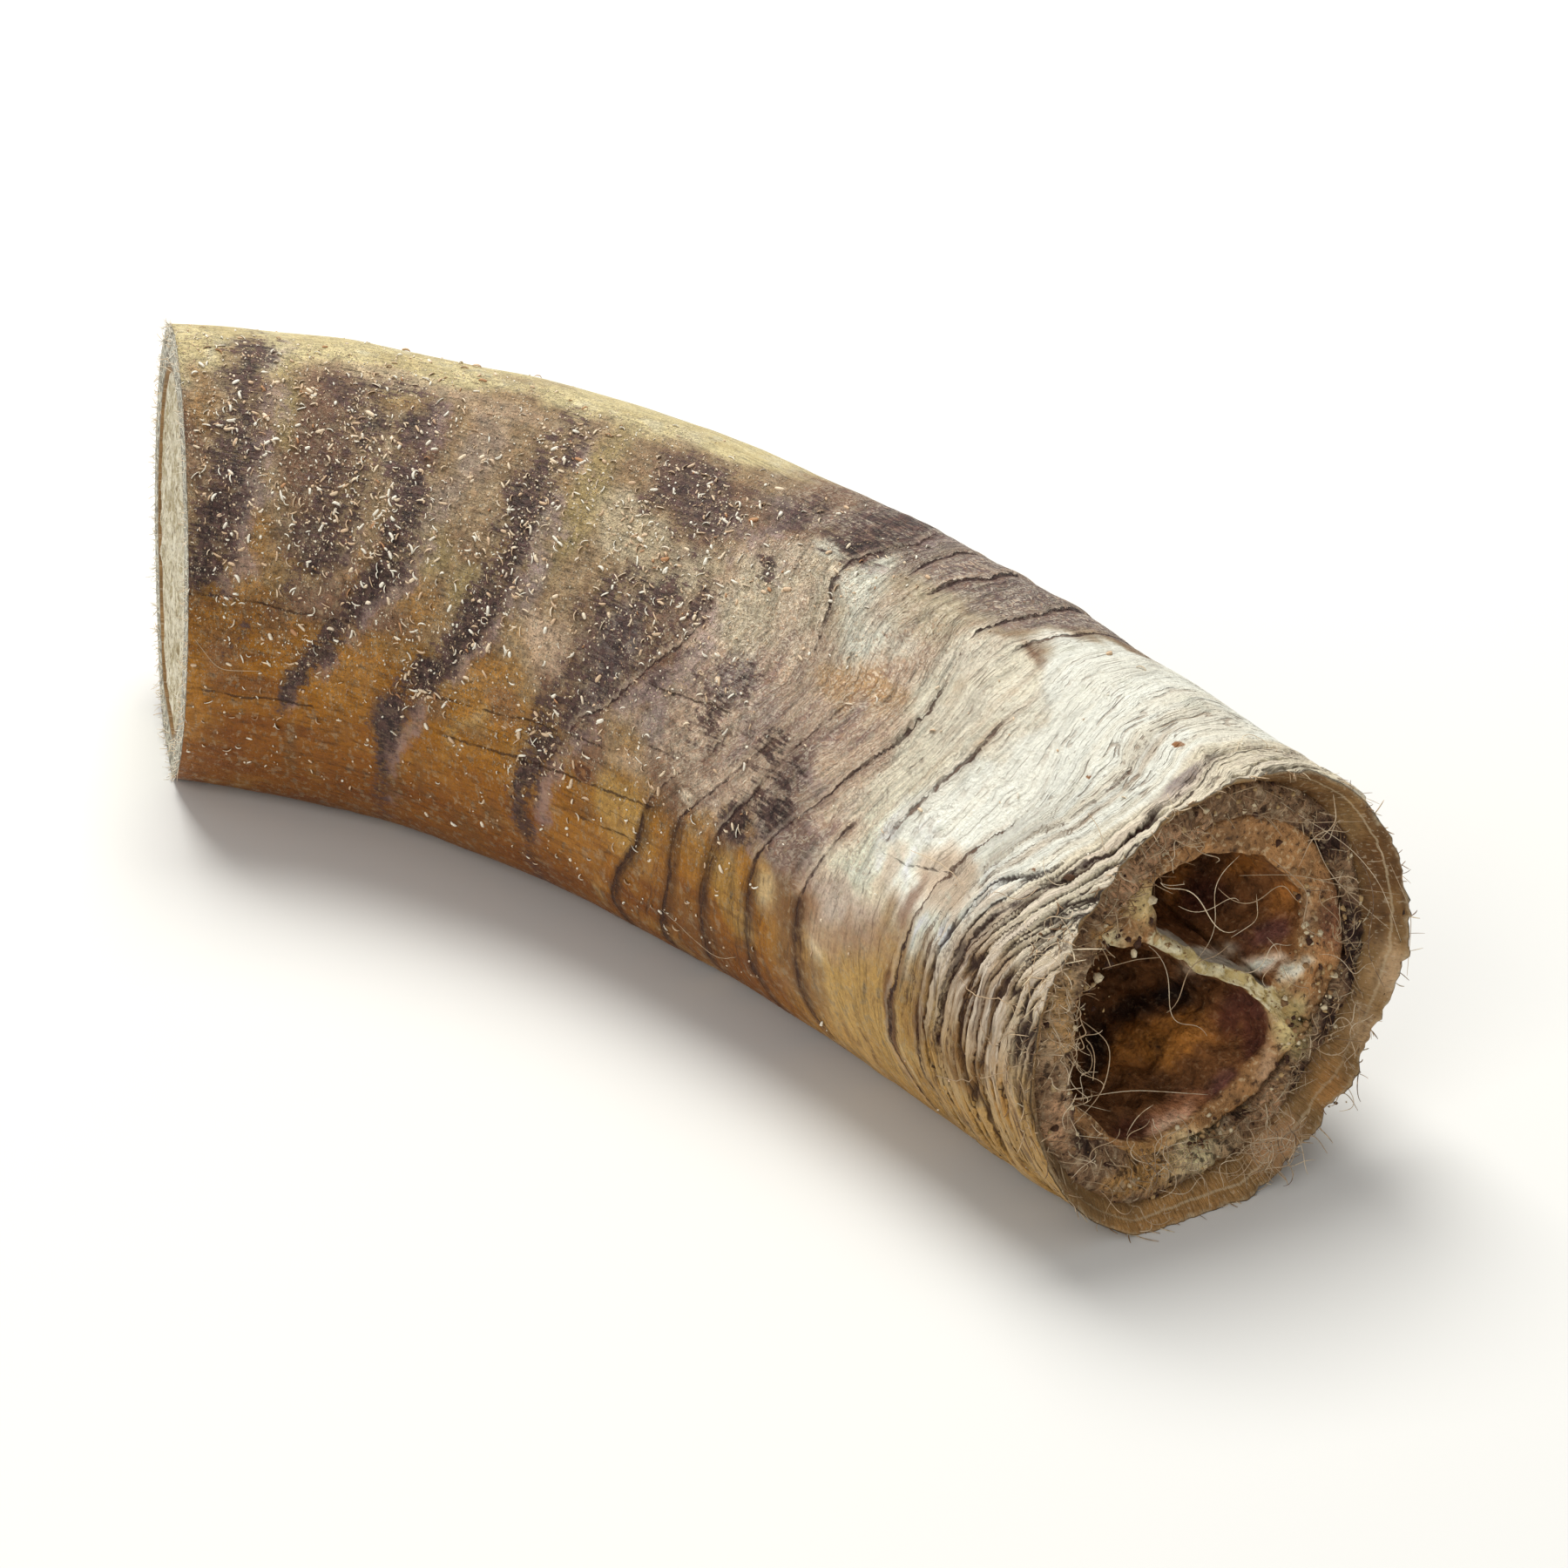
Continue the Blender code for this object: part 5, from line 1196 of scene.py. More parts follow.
tissue = {
    "around": 420,
    # the crust's profile: depth under the outside of the horn, and place along it from the mouth
    "profile": ((3.5, -17.0), (3.5, -12.0), (3.4, -9.0), (3.2, -7.0), (2.95, -5.6), (2.8, -4.7), (2.75, -4.1), (2.85, -3.6),
                (3.05, -3.3), (3.3, -3.05), (3.6, -2.85), (3.9, -2.75), (4.2, -2.7), (4.5, -2.7), (4.8, -2.75), (5.1, -2.8),
                (5.4, -2.9), (5.7, -3.05), (6.0, -3.25), (6.3, -3.55), (6.5, -4.0), (6.5, -4.8), (6.2, -6.0), (5.4, -7.5),
                (5.0, -10.0), (5.0, -17.0)),
    "front": (8, 20),           # rings of the profile that face the mouth
}


def makeTissue():
    print("tissue: working out the crust")
    angle = np.linspace(0.0, 360.0, tissue["around"], endpoint=False)
    side = (angle + 180.0) % 360.0 - 180.0
    ring = np.stack([0.0 * angle, 21.0 * sine(angle), 21.0 * cosine(angle)], axis=-1)
    # it climbs up the lip on the near side, at the bottom and under the top
    climb = np.clip(hump(side, 92.0, 52.0) + 0.55 * hump(np.abs(side), 160.0, 30.0) + 0.5 * hump(side, 5.0, 32.0)
                    + 0.5 * hump(side, -105.0, 45.0), 0.0, 1.0)
    grainy = hump(side, -65.0, 60.0)
    rings = []
    for depth, shift in tissue["profile"]:
        front = ease(shift, -9.0, -4.0)
        shape = ring + np.array([depth * 1.7, 0.0, 0.0])
        lump = 0.42 * roughNoise(shape / 1.6, 81, 3) + 0.2 * roughNoise(shape / 0.7, 84, 2) * grainy
        lump = lump + 0.45 * softNoise(shape / 4.0, 86)
        outer = 1.0 - ease(depth, 2.9, 4.6)
        inner = ease(depth, 4.8, 6.5)
        under = depth + front * (0.3 * softNoise(shape / 2.0, 88) - 1.25 * climb * outer + 0.9 * inner * softNoise(ring / 3.6, 90))
        under = under - front * inner * (1.5 * hump(np.abs(side), 172.0, 26.0) + 1.3 * hump(side, -95.0, 65.0))
        on = stationsOn(endPlane(horn["length"], horn["mouthTilt"], shift), horn["length"], angle, under)
        on = on + front * (lump + 1.5 * climb * (1.0 - 0.75 * inner))
        rings.append(pointAt(on, angle, radiusAt(on, angle) - under))
    rings = np.array(rings)
    piece = surface("tissue_crust", rings.reshape(-1, 3), [gridFaces(len(rings), len(angle), True)], tissueFinish())
    unrolled = np.stack([np.broadcast_to(np.array(tissue["profile"])[:, :1], rings.shape[:2]),
                         np.broadcast_to(ring[:, 1], rings.shape[:2]), np.broadcast_to(ring[:, 2], rings.shape[:2])], axis=-1)
    paint(piece, "crustSpot", unrolled)
    ground = np.zeros(rings.shape) + np.array(tones["crust"], dtype=float)
    wash = linear(mouthWash(rings, ground, mouthLook["crust"]))
    paint(piece, "wash", np.concatenate([wash, np.ones(wash.shape[:2] + (1,))], axis=-1))
    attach(piece, "root")
    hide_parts("dried_tissue")
    return rings, angle


def tissueFinish():
    k = Finish("horn_dried_tissue", 0.85, 0.25)
    where = k.node("ShaderNodeTexCoord").outputs["Object"]
    spot = k.read("crustSpot").outputs["Vector"]
    mottle = k.noise(where, 900.0, 4.0, 0.65)
    blotch = k.noise(where, 210.0, 4.0, 0.6)
    fibre = k.noise(k.vector("MULTIPLY", spot, (1.1, 1.7, 1.7)), 1.0, 5.0, 0.7)

    def times(first, second):
        return k.math("MULTIPLY", first, second)

    colour = k.scale(k.read("wash").outputs["Color"], k.between(fibre, 0.36, 0.64, 0.55, 1.45))
    colour = k.mix(times(k.between(mottle, 0.52, 0.64), k.between(fibre, 0.4, 0.6, 0.4, 0.9)), colour, shade(222, 196, 160))
    colour = k.mix(times(k.between(mottle, 0.46, 0.36), 0.75), colour, shade(46, 30, 24))
    relief = k.math("ADD", mottle, fibre)
    return k.finish(colour, None, k.bump(relief, 0.0009, 0.9))


crustPoints, crustAngles = makeTissue()

# Small loose things: sawdust, hairs, fibres and crumbs


def tubes(name, paths, across, outward, corners, material):
    # a tube round each path, spread by its half widths across and outward, closed at both ends
    count, length = paths.shape[:2]
    turn = np.arange(corners) * 360.0 / corners
    spread = across[:, :, None] * cosine(turn)[:, None] + outward[:, :, None] * sine(turn)[:, None]
    index = (np.arange(count * length) * corners).reshape(count, length, 1) + np.arange(corners)
    a, b = index[:, :-1], index[:, 1:]
    walls = np.stack([a, np.roll(a, -1, axis=2), np.roll(b, -1, axis=2), b], axis=-1).reshape(-1, 4)
    caps = np.concatenate([index[:, 0, ::-1], index[:, -1]])
    piece = surface(name, (paths[:, :, None] + spread).reshape(-1, 3), [walls, caps], material)
    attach(piece, "root")
    return piece


def hairTubes(name, paths, radius, material):
    # three-sided tubes that taper to their ends
    direct = unit(np.gradient(paths, axis=1))
    side = unit(np.cross(direct, np.array([0.31, 0.22, 0.93])))
    taper = (0.35 + 0.65 * np.sin(np.pi * np.linspace(0.02, 0.98, paths.shape[1])) ** 0.5)[None, :, None]
    width = taper * np.broadcast_to(radius, (len(paths),))[:, None, None]
    return tubes(name, paths, side * width, np.cross(direct, side) * width, 3, material)


def onSurface(fromMouth, angle):
    # the sheath's point there, blended from the four nearest, and directions along it, round it and out of it
    row = np.interp(-fromMouth, -rowsFromMouth, np.arange(len(rowsFromMouth)))
    column = (angle % 360.0) / 360.0 * len(columnAngles)
    low = np.clip(np.floor(row).astype(int), 0, len(rowsFromMouth) - 2)
    left = np.floor(column).astype(int) % len(columnAngles)
    right = (left + 1) % len(columnAngles)
    down, over = (row - low)[..., None], (column - np.floor(column))[..., None]
    a, b = outsidePoints[low, left], outsidePoints[low, right]
    c, d = outsidePoints[low + 1, left], outsidePoints[low + 1, right]
    spot = (a * (1.0 - over) + b * over) * (1.0 - down) + (c * (1.0 - over) + d * over) * down
    along = unit(c - a + d - b)
    around = unit(b - a + d - c)
    return spot, along, around, unit(np.cross(around, along))


chips = {
    "count": 2700,
    "tried": 18000,
    "length": (0.2, 1.15),
    "halfWidth": (0.08, 0.2),
    "halfThick": 0.05,
    "bend": (10.0, 150.0),
    "sections": 6,
    "thick": (                  # where they lie thickest: distance from the mouth, angle, reach along and round
        (112, 18, 12, 22), (118, 48, 8, 12), (88, 25, 4, 25), (90, 50, 4, 12), (100, 88, 4, 8), (70, 5, 8, 12), (74, 22, 7, 10),
        (64, 35, 4, 10), (105, 50, 5, 14), (129, 30, 5, 25), (57, 18, 4, 6), (80, 92, 4, 8), (92, 68, 5, 5),
    ),
}


def makeChips():
    print("chips: strewing the sawdust")
    draw = np.random.default_rng(21)
    far = draw.uniform(3.0, 134.5, chips["tried"])
    angle = draw.uniform(-28.0, 128.0, chips["tried"])
    spot = np.stack([far, 21.0 * sine(angle), 21.0 * cosine(angle)], axis=-1)
    density = 0.012 + 0.13 * ease(far, 34.0, 62.0) * ease(angle, -24.0, -6.0) * (1.0 - 0.6 * ease(angle, 78.0, 112.0))
    for middle, at, reach, spread in chips["thick"]:
        density = density + 0.5 * hump(far, middle, reach) * hump(angle, at, spread)
    density = density * (0.9 + 0.9 * roughNoise(spot / 2.6, 121, 2)).clip(0.1, 2.5)
    kept = np.argsort(draw.uniform(0.0, 1.0, chips["tried"]) / density.clip(0.001))[:chips["count"]]
    far, angle = far[kept], angle[kept]
    spot, along, around, out = onSurface(far, angle)
    count = len(far)
    length = draw.uniform(0.0, 1.0, count) ** 2.6 * (chips["length"][1] - chips["length"][0]) + chips["length"][0]
    bend = np.radians(draw.uniform(*chips["bend"], count))
    heading = draw.uniform(0.0, 360.0, count)[:, None]
    raised = draw.uniform(10.0, 75.0, count)[:, None]
    forward = along * cosine(heading) + around * sine(heading)
    sideways = np.cross(out, forward)
    arched = sideways * cosine(raised) + out * sine(raised)
    share = np.linspace(-0.5, 0.5, chips["sections"])[None, :]
    turned = bend[:, None] * share
    onward = length[:, None] * np.sin(turned) / bend[:, None]
    bulge = length[:, None] * (np.cos(turned) - np.cos(bend / 2.0)[:, None]) / bend[:, None]
    lift = 0.03 + 0.05 * draw.uniform(0.0, 1.0, count)
    paths = spot[:, None] + forward[:, None] * onward[..., None] + arched[:, None] * bulge[..., None] + (out * lift[:, None])[:, None]
    direct = unit(np.gradient(paths, axis=1))
    across = unit(np.cross(forward, arched))[:, None] + 0.0 * direct
    halfWidth = (draw.uniform(*chips["halfWidth"], count) * (0.6 + 0.5 * length))[:, None, None]
    taper = np.array([0.6, 0.95, 1.0, 1.0, 0.9, 0.5])[None, :, None]
    outward = np.cross(direct, across) * chips["halfThick"]
    piece = tubes("sawdust_chips", paths, across * halfWidth * taper, outward * (0.5 + 0.5 * taper), 4, chipFinish())
    tone = np.repeat(draw.uniform(0.0, 1.0, count), chips["sections"] * 4)
    paint(piece, "chipTone", tone[:, None])


def chipFinish():
    k = Finish("horn_sawdust", 0.7, 0.3)
    tone = k.read("chipTone").outputs["Fac"]
    where = k.node("ShaderNodeTexCoord").outputs["Object"]
    grain = k.noise(where, 2600.0, 3.0, 0.6)
    colour = k.mix(k.between(tone, 0.2, 0.4), shade(224, 194, 160), shade(244, 224, 194))
    colour = k.mix(k.between(tone, 0.5, 0.65), colour, shade(253, 247, 230))
    colour = k.mix(k.between(tone, 0.95, 0.97), colour, shade(196, 146, 104))
    colour = k.mix(k.between(grain, 0.52, 0.66, 0.0, 0.4), colour, shade(190, 156, 124))
    return k.finish(colour, k.between(grain, 0.4, 0.6, 0.6, 0.8), k.bump(grain, 0.0002, 0.6))


hairs = {
    "points": 22,
    # the long ones over the mouth, each through these places: sideways, up, out of the mouth
    "long": (
        ((16.6, -4.4, -0.4), (11.5, -4.2, 1.0), (5.5, -6.2, 1.2), (2.0, -8.2, -0.6)),
        ((-3.3, 17.5, 0.2), (-8.0, 15.6, 0.9), (-13.0, 14.6, 1.0), (-17.5, 13.2, 0.2)),
        ((-13.2, 16.8, 0.2), (-12.6, 14.8, 1.2), (-10.9, 13.1, 0.6)),
        ((-2.5, 11.7, 0.0), (-8.0, 11.0, 1.2), (-13.0, 8.6, 1.4), (-19.9, 5.8, 0.6)),
        ((-10.5, 13.9, 0.3), (-11.0, 11.0, 1.2), (-13.0, 8.3, 1.0), (-18.8, 2.5, 0.6)),
        ((12.4, 6.6, -0.5), (9.5, 7.2, 0.5), (6.2, 6.1, -0.4)),
        ((-4.4, 9.4, -0.2), (-3.6, 7.6, 0.8), (-1.6, 5.9, -0.5)),
        ((-9.0, 16.0, 0.5), (-13.5, 12.5, 1.6), (-17.0, 8.0, 1.5), (-19.5, 1.5, 0.8)),
        ((-15.0, 12.0, 0.3), (-16.5, 7.0, 1.4), (-15.0, 2.0, 1.2), (-17.5, -2.5, 0.5)),
        ((-6.0, 12.5, 0.2), (-9.5, 9.0, 1.0), (-8.5, 5.5, 0.4), (-11.5, 3.5, 0.2)),
        ((-19.0, 9.0, 0.4), (-20.8, 4.0, 1.0), (-20.0, -2.0, 0.8)),
        ((15.5, 3.0, 0.0), (13.0, 0.5, 1.0), (14.0, -4.0, 0.6), (17.5, -6.5, 0.2)),
    ),
    # loose tangles: how many, middle, spread, length from and to, curl in degrees a millimetre
    "tangles": (
        (46, (-3.6, -14.2, 0.5), (2.6, 1.3, 0.6), (3.0, 7.0), 16.0), (44, (16.6, 1.5, 0.1), (1.3, 6.0, 0.4), (1.5, 5.0), 14.0),
        (9, (-14.6, 4.0, -0.4), (1.2, 5.0, 0.4), (2.0, 6.0), 8.0), (12, (-5.0, 6.0, 0.4), (6.0, 5.0, 0.5), (6.0, 14.0), 2.5),
        (34, (9.5, -13.0, 0.0), (4.5, 2.8, 0.4), (2.0, 7.0), 12.0), (20, (4.0, 16.0, -0.8), (5.0, 1.6, 0.4), (2.0, 5.0), 12.0),
        (16, (-12.6, -8.0, -0.2), (1.6, 2.6, 0.3), (2.5, 6.0), 12.0),
    ),
    # single ones on the outside: distance from the mouth and angle at each place
    "outside": (
        ((16, 111), (10, 106), (5, 98), (0.3, 90)), ((23, 62), (18, 60), (15, 62)), ((8, 88), (5, 92), (3, 84)),
        ((6, 60), (2.5, 66), (1, 58)), ((3, -30), (6, -24), (4, -16)), ((60, 118), (52, 124), (48, 119)),
        ((12, 82), (9, 84), (4, 79), (1, 82)), ((2.5, 100), (4, 92), (1.5, 88)), ((134, 88), (130, 96), (124, 95)),
    ),
    "radius": (0.035, 0.06),
}


def throughPlaces(places):
    # an even path through a few places, rounded off by averaging neighbours
    places = np.array(places, dtype=float)
    spot = np.linspace(0.0, len(places) - 1.0, hairs["points"])
    path = np.stack([np.interp(spot, np.arange(len(places)), column) for column in places.T], axis=-1)
    for _ in range(8):
        path[1:-1] = (path[:-2] + 2.0 * path[1:-1] + path[2:]) / 4.0
    return path


def makeHairs():
    print("hairs: laying them over the mouth")
    draw = np.random.default_rng(33)
    paths = [inMouth(path[:, :2], path[:, 2]) for path in map(throughPlaces, hairs["long"])]
    for path in map(throughPlaces, hairs["outside"]):
        spot, _, _, out = onSurface(path[:, 0], path[:, 1])
        paths.append(spot + out * (0.12 + 0.35 * np.sin(np.linspace(0.0, np.pi, len(path))))[:, None])
    share = np.linspace(0.0, 1.0, hairs["points"])[None, :]
    for count, middle, spread, reach, curl in hairs["tangles"]:
        start = np.array(middle) + draw.normal(size=(count, 3)) * np.array(spread)
        length = draw.uniform(*reach, count)[:, None]
        first = draw.uniform(0.0, 360.0, count)[:, None]
        bend = draw.normal(0.0, curl, count)[:, None]
        wave = draw.uniform(0.0, 360.0, (count, 2))
        heading = first + bend * length * share + 35.0 * sine(share * 400.0 + wave[:, :1])
        step = length / hairs["points"]
        flat = np.stack([cosine(heading), sine(heading)], axis=-1) * step[..., None]
        flat = start[:, None, :2] + np.cumsum(flat, axis=1) - flat.sum(axis=1, keepdims=True) / 2.0
        height = start[:, 2:] + 0.6 * sine(share * 300.0 + wave[:, 1:]) + 0.3 * length / 8.0 * sine(share * 180.0)
        paths.extend(inMouth(flat, height))
    paths = np.array(paths)
    paths[..., 2] = np.maximum(paths[..., 2], 0.1)
    radius = draw.uniform(*hairs["radius"], len(paths))
    piece = hairTubes("hairs", paths, radius, hairFinish())
    paint(piece, "hairTone", np.repeat(draw.uniform(0.0, 1.0, len(paths)), hairs["points"] * 3)[:, None])


def hairFinish():
    k = Finish("horn_hair", 0.45, 0.5)
    tone = k.read("hairTone").outputs["Fac"]
    where = k.node("ShaderNodeTexCoord").outputs["Object"]
    grain = k.noise(where, 900.0, 2.0, 0.6)
    colour = k.mix(k.between(tone, 0.3, 0.6), shade(190, 162, 128), shade(236, 216, 184))
    colour = k.mix(k.between(tone, 0.9, 0.93), colour, shade(112, 84, 60))
    colour = k.mix(k.between(grain, 0.5, 0.62), colour, shade(206, 178, 142))
    return k.finish(colour, k.between(grain, 0.4, 0.6, 0.4, 0.55), k.bump(grain, 0.0001, 0.4))


fibres = {
    "crust": 560,
    "rim": 150,
    "peeled": 150,
    "points": 7,
}


def makeFibres():
    # short fibres on the crust, on the broken rim, and peeled ones on the near side by the mouth
    print("fibres: crust and rim")
    draw = np.random.default_rng(45)
    forward, side = endAxes(horn["length"])
    share = np.linspace(0.0, 1.0, fibres["points"])
    groups = []
    row = draw.integers(*tissue["front"], fibres["crust"])
    column = draw.integers(0, len(crustAngles), fibres["crust"])
    groups.append((crustPoints[row, column], crustAngles[column], (0.6, 2.6), 0.5))
    angle = draw.uniform(0.0, 360.0, fibres["rim"])
    rim, _, _, _ = onSurface(draw.uniform(0.0, 0.5, fibres["rim"]), angle)
    groups.append((rim, angle, (0.4, 1.6), 0.9))
    angle = draw.normal(88.0, 22.0, fibres["peeled"])
    rim, _, _, _ = onSurface(draw.uniform(0.2, 4.5, fibres["peeled"]), angle)
    groups.append((rim, angle, (0.8, 2.6), 0.8))
    paths = []
    for root, angle, reach, frontal in groups:
        outward = sine(angle)[:, None] * side + cosine(angle)[:, None] * up
        around = cosine(angle)[:, None] * side - sine(angle)[:, None] * up
        mixed = draw.normal(size=(len(root), 3))
        direct = unit(forward * frontal + 0.35 * outward * mixed[:, :1] + 0.8 * around * mixed[:, 1:2] + 0.1 * mixed[:, 2:])
        droop = unit(draw.normal(size=(len(root), 3)))
        length = draw.uniform(*reach, len(root))[:, None, None]
        paths.append(root[:, None] + length * (direct[:, None] * share[:, None] + 0.45 * droop[:, None] * (share ** 2)[:, None]))
    paths = np.concatenate(paths)
    paths[..., 2] = np.maximum(paths[..., 2], 0.1)
    piece = hairTubes("torn_fibres", paths, draw.uniform(0.03, 0.07, len(paths)), fibreFinish())
    paint(piece, "hairTone", np.repeat(draw.uniform(0.0, 1.0, len(paths)), fibres["points"] * 3)[:, None])


def fibreFinish():
    k = Finish("horn_torn_fibre", 0.7, 0.3)
    tone = k.read("hairTone").outputs["Fac"]
    where = k.node("ShaderNodeTexCoord").outputs["Object"]
    grain = k.noise(where, 1200.0, 2.0, 0.6)
    colour = k.mix(k.between(tone, 0.3, 0.7), shade(150, 118, 86), shade(214, 188, 152))
    colour = k.mix(k.between(tone, 0.88, 0.94), colour, shade(232, 216, 184))
    colour = k.mix(k.between(grain, 0.5, 0.62, 0.0, 0.5), colour, shade(96, 68, 46))
    return k.finish(colour, k.between(grain, 0.4, 0.6, 0.6, 0.8), k.bump(grain, 0.0001, 0.4))


sawnFuzz = {
    "count": 850,
    "points": 5,
    "length": (0.25, 0.95),
    "radius": (0.03, 0.06),
}


def makeSawnFuzz():
    print("sawn end: fuzz")
    draw = np.random.default_rng(57)
    count = sawnFuzz["count"]
    angle = draw.uniform(0.0, 360.0, count)
    depth = 4.2 * draw.uniform(0.0, 1.0, count) ** 2.2
    plane = endPlane(0.0, horn["sawnTilt"], 0.0)
    on = stationsOn(plane, 0.0, angle, depth)
    root = pointAt(on, angle, radiusAt(on, angle) - depth)
    forward, side = endAxes(0.0)
    outward = sine(angle)[:, None] * side + cosine(angle)[:, None] * up
    edge = (1.0 - ease(depth, 0.0, 0.5))[:, None]
    direct = unit(-forward * 0.7 + edge * 0.7 * outward + 0.6 * draw.normal(size=(count, 3)))
    droop = unit(draw.normal(size=(count, 3)))
    share = np.linspace(0.0, 1.0, sawnFuzz["points"])
    length = draw.uniform(*sawnFuzz["length"], count)[:, None, None]
    paths = root[:, None] + length * (direct[:, None] * share[:, None] + 0.5 * droop[:, None] * (share ** 2)[:, None])
    low = np.maximum(paths[..., 2:], 0.05)
    paths = np.concatenate([paths[..., :2], low], axis=-1)
    piece = hairTubes("sawn_fuzz", paths, draw.uniform(*sawnFuzz["radius"], count), chipFinish())
    paint(piece, "chipTone", np.repeat(draw.uniform(0.3, 0.9, count), sawnFuzz["points"] * 3)[:, None])


crumbs = {
    "onCrust": 420,
    # on the bone's face: how many, middle, spread, radii from and to
    "onBone": ((90, (9.7, 9.0), (2.4, 2.0), (0.12, 0.5)), (110, (-12.2, 1.5), (1.2, 5.0), (0.1, 0.4)),
               (90, (1.5, -14.2), (5.5, 0.9), (0.1, 0.45)), (50, (-8.8, -5.0), (1.2, 3.5), (0.1, 0.35)),
               (50, (12.5, 5.0), (1.5, 2.5), (0.1, 0.4))),
}


def icosahedron():
    # twelve corners, and every three of them that are one short edge apart, facing out
    golden = (1.0 + math.sqrt(5.0)) / 2.0
    corners = np.array([np.roll((0.0, a, b * golden), turn) for turn in range(3) for a in (-1, 1) for b in (-1, 1)])
    near = np.abs(np.linalg.norm(corners[:, None] - corners[None], axis=-1) - 2.0) < 0.01
    faces = [(i, j, k) for i, j, k in np.ndindex(12, 12, 12)
             if i < min(j, k) and near[i, j] and near[j, k] and near[i, k] and np.linalg.det(corners[[i, j, k]]) > 0.0]
    return corners / np.linalg.norm(corners[0]), np.array(faces)


def makeCrumbs():
    print("crumbs: on the crust and the bone")
    draw = np.random.default_rng(69)
    row = draw.integers(*tissue["front"], crumbs["onCrust"])
    column = draw.integers(0, len(crustAngles), crumbs["onCrust"])
    centres = [crustPoints[row, column]]
    sizes = [0.08 + 0.3 * draw.uniform(0.0, 1.0, crumbs["onCrust"]) ** 2.5]
    for count, middle, spread, reach in crumbs["onBone"]:
        flat = np.array(middle) + draw.normal(size=(count, 2)) * np.array(spread)
        centres.append(inMouth(flat, faceHeight(flat), core["recess"]))
        sizes.append(reach[0] + (reach[1] - reach[0]) * draw.uniform(0.0, 1.0, count) ** 2.0)
    centres, sizes = np.concatenate(centres), np.concatenate(sizes)
    corners, faces = icosahedron()
    scale = draw.uniform(0.55, 1.35, (len(centres), len(corners), 1)) * sizes[:, None, None]
    squash = draw.uniform(0.6, 1.3, (len(centres), 1, 3))
    points = centres[:, None] + corners * scale * squash
    index = faces[None] + (np.arange(len(centres)) * len(corners))[:, None, None]
    piece = surface("crumbs", points.reshape(-1, 3), [index.reshape(-1, 3)], crumbFinish())
    paint(piece, "crumbTone", np.repeat(draw.uniform(0.0, 1.0, len(centres)), len(corners))[:, None])
    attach(piece, "root")


def crumbFinish():
    k = Finish("horn_crumbs", 0.8, 0.3)
    tone = k.read("crumbTone").outputs["Fac"]
    where = k.node("ShaderNodeTexCoord").outputs["Object"]
    grain = k.noise(where, 2200.0, 3.0, 0.6)
    colour = k.mix(k.between(tone, 0.15, 0.3), shade(74, 48, 36), shade(168, 132, 92))
    colour = k.mix(k.between(tone, 0.5, 0.6), colour, shade(206, 174, 124))
    colour = k.mix(k.between(tone, 0.72, 0.8), colour, shade(236, 220, 184))
    colour = k.mix(k.between(grain, 0.5, 0.64, 0.0, 0.5), colour, shade(104, 74, 50))
    return k.finish(colour, k.between(grain, 0.4, 0.6, 0.7, 0.9), k.bump(grain, 0.0004, 0.8))


makeChips()
makeHairs()
makeFibres()
makeSawnFuzz()
makeCrumbs()

# The floor, the light and the camera

studio = {
    "floor": shade(232, 232, 229),
    "world": (1.0, 1.0, 1.0, 1.0),
    "worldStrength": 0.33,
    "lights": (                 # place in metres, size, power, colour
        ("key", (-0.35, 0.25, 0.80), 0.50, 9.0, (1.0, 0.985, 0.95)),
        ("front", (0.05, -0.85, 0.55), 0.60, 3.0, (1.0, 0.97, 0.93)),
    ),
    "azimuth": 40.47,
    "elevation": 29.78,
    "pan": 4.555,
    "tilt": 0.23,
    "lens": 86.94,
}


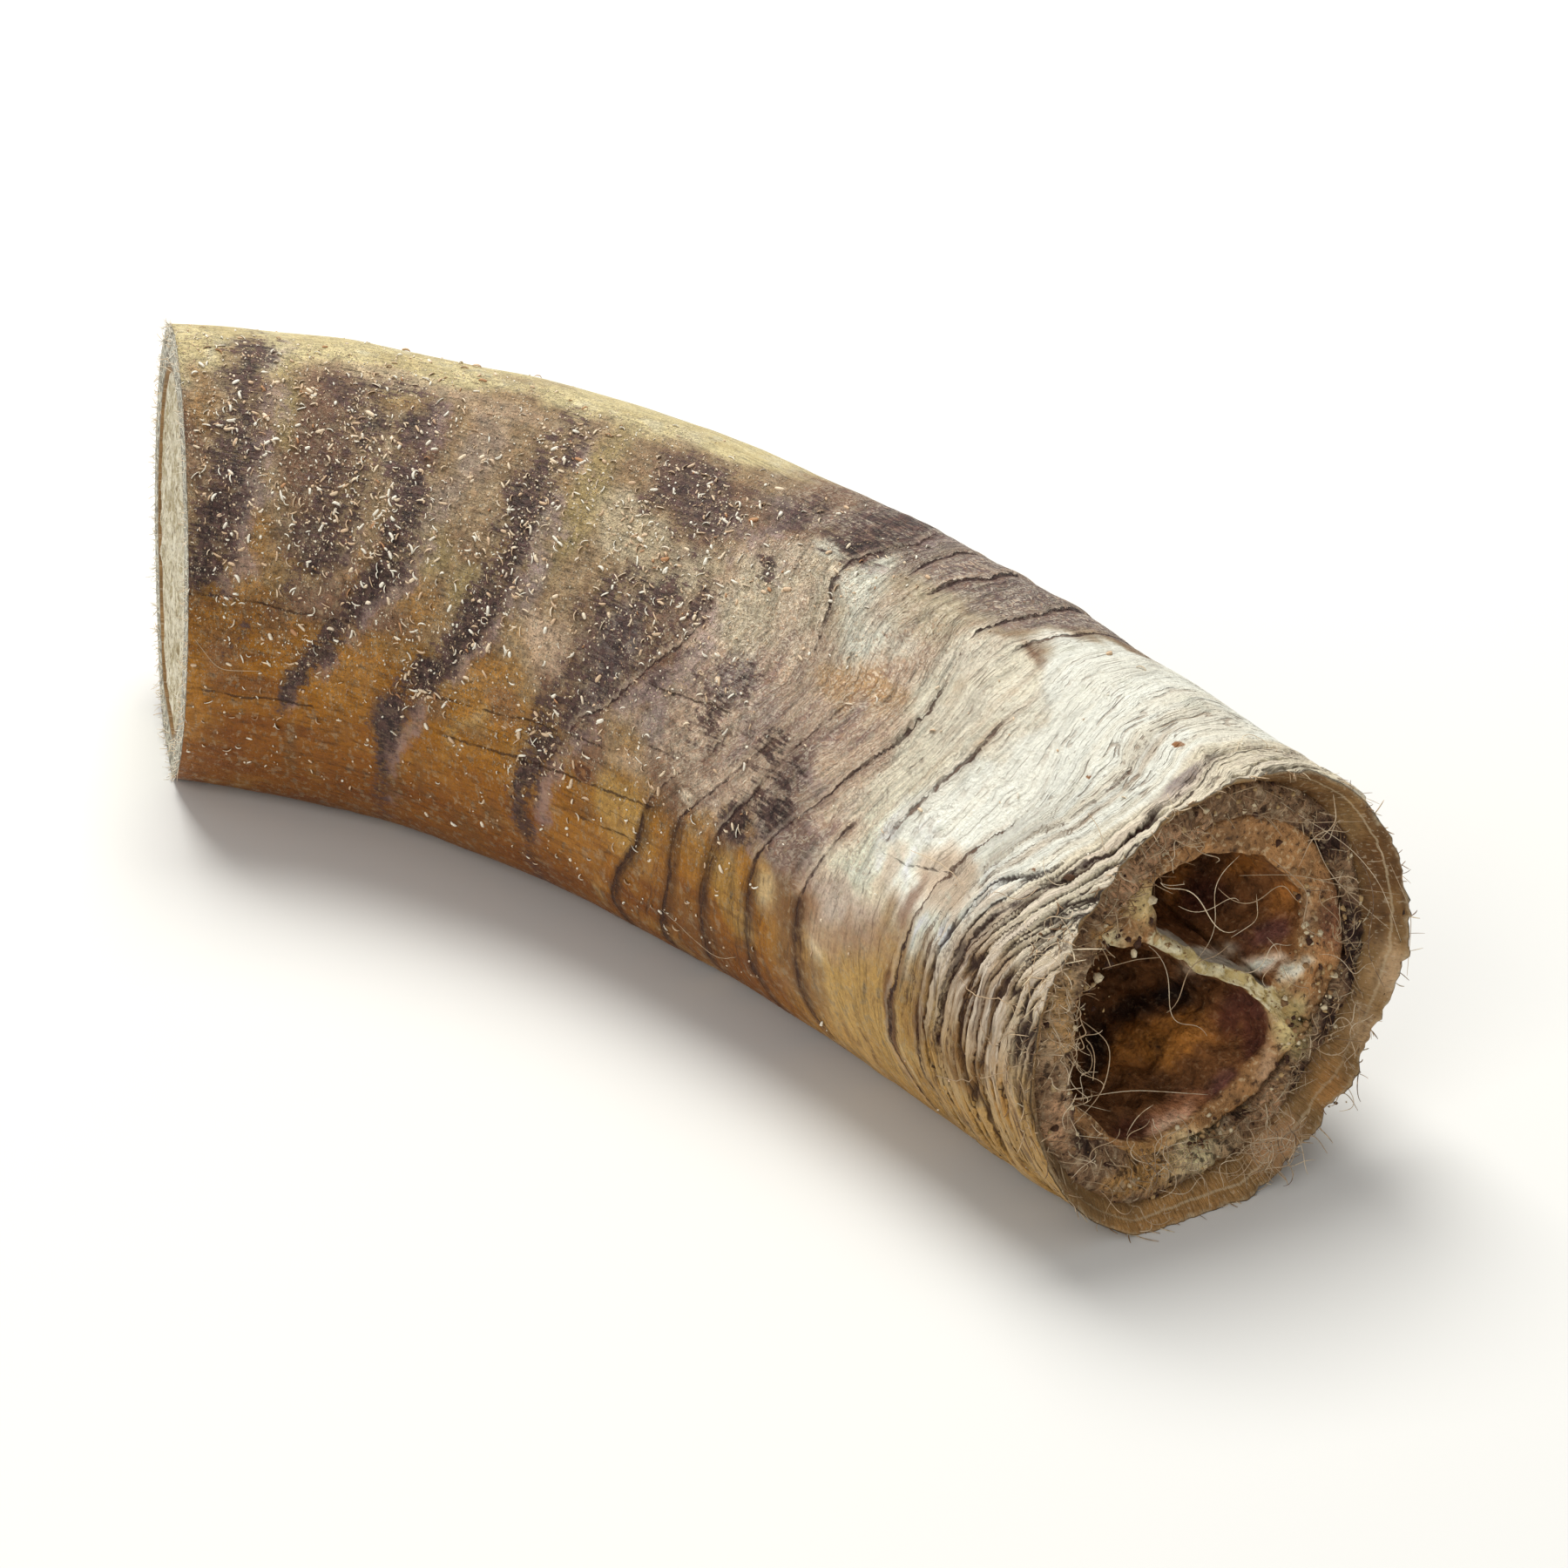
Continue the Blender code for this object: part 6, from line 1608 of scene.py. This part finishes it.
def makeStudio():
    print("studio: floor, lights and camera")
    bpy.ops.mesh.primitive_plane_add(size=6.0, location=(0.0, 0.0, 0.0))
    floor = bpy.context.object
    floor.name = "studio_floor"
    paper = Finish("studio_paper", 0.9, 0.2)
    paper.shader.inputs["Base Color"].default_value = studio["floor"]
    floor.data.materials.append(paper.material)
    world = bpy.context.scene.world or bpy.data.worlds.new("studio_world")
    bpy.context.scene.world = world
    world.use_nodes = True
    background = world.node_tree.nodes["Background"]
    background.inputs["Color"].default_value = studio["world"]
    background.inputs["Strength"].default_value = studio["worldStrength"]
    for name, place, size, power, colour in studio["lights"]:
        data = bpy.data.lights.new("studio_" + name, "AREA")
        data.size = size
        data.energy = power
        data.color = colour
        lamp = bpy.data.objects.new("studio_" + name, data)
        bpy.context.scene.collection.objects.link(lamp)
        aim = np.array([0.0, 0.0, 0.02]) - np.array(place)
        lamp.matrix_world = facing(aim / np.linalg.norm(aim), place)
    bpy.context.scene.view_settings.view_transform = "Standard"

    azimuth, elevation = studio["azimuth"], studio["elevation"]
    right = np.array([cosine(azimuth), sine(azimuth), 0.0])
    back = np.array([sine(azimuth) * cosine(elevation), -cosine(azimuth) * cosine(elevation), sine(elevation)])
    above = np.cross(back, right)
    # pan to the right about the upward axis, then tilt up about the new rightward axis
    panned = cosine(studio["pan"]) * right + sine(studio["pan"]) * back
    back = np.cross(panned, above)
    tilted = cosine(studio["tilt"]) * above + sine(studio["tilt"]) * back
    back = np.cross(panned, tilted)
    camera = bpy.data.cameras.new("studio_camera")
    camera.lens = studio["lens"]
    camera.sensor_width = 36.0
    camera.clip_start = 0.01
    holder = bpy.data.objects.new("studio_camera", camera)
    bpy.context.scene.collection.objects.link(holder)
    place = np.array(mouthLook["seenFrom"]) * 0.001
    axes = np.stack([panned, tilted, back], axis=1)
    holder.matrix_world = Matrix([[*axes[row], place[row]] for row in range(3)] + [[0.0, 0.0, 0.0, 1.0]])
    bpy.context.scene.camera = holder


def facing(aim, place):
    # a frame whose -Z axis points along aim
    side = np.cross(aim, up)
    side = side / np.linalg.norm(side)
    top = np.cross(side, aim)
    axes = np.stack([side, top, -aim], axis=1)
    return Matrix([[*axes[row], place[row]] for row in range(3)] + [[0.0, 0.0, 0.0, 1.0]])


makeStudio()
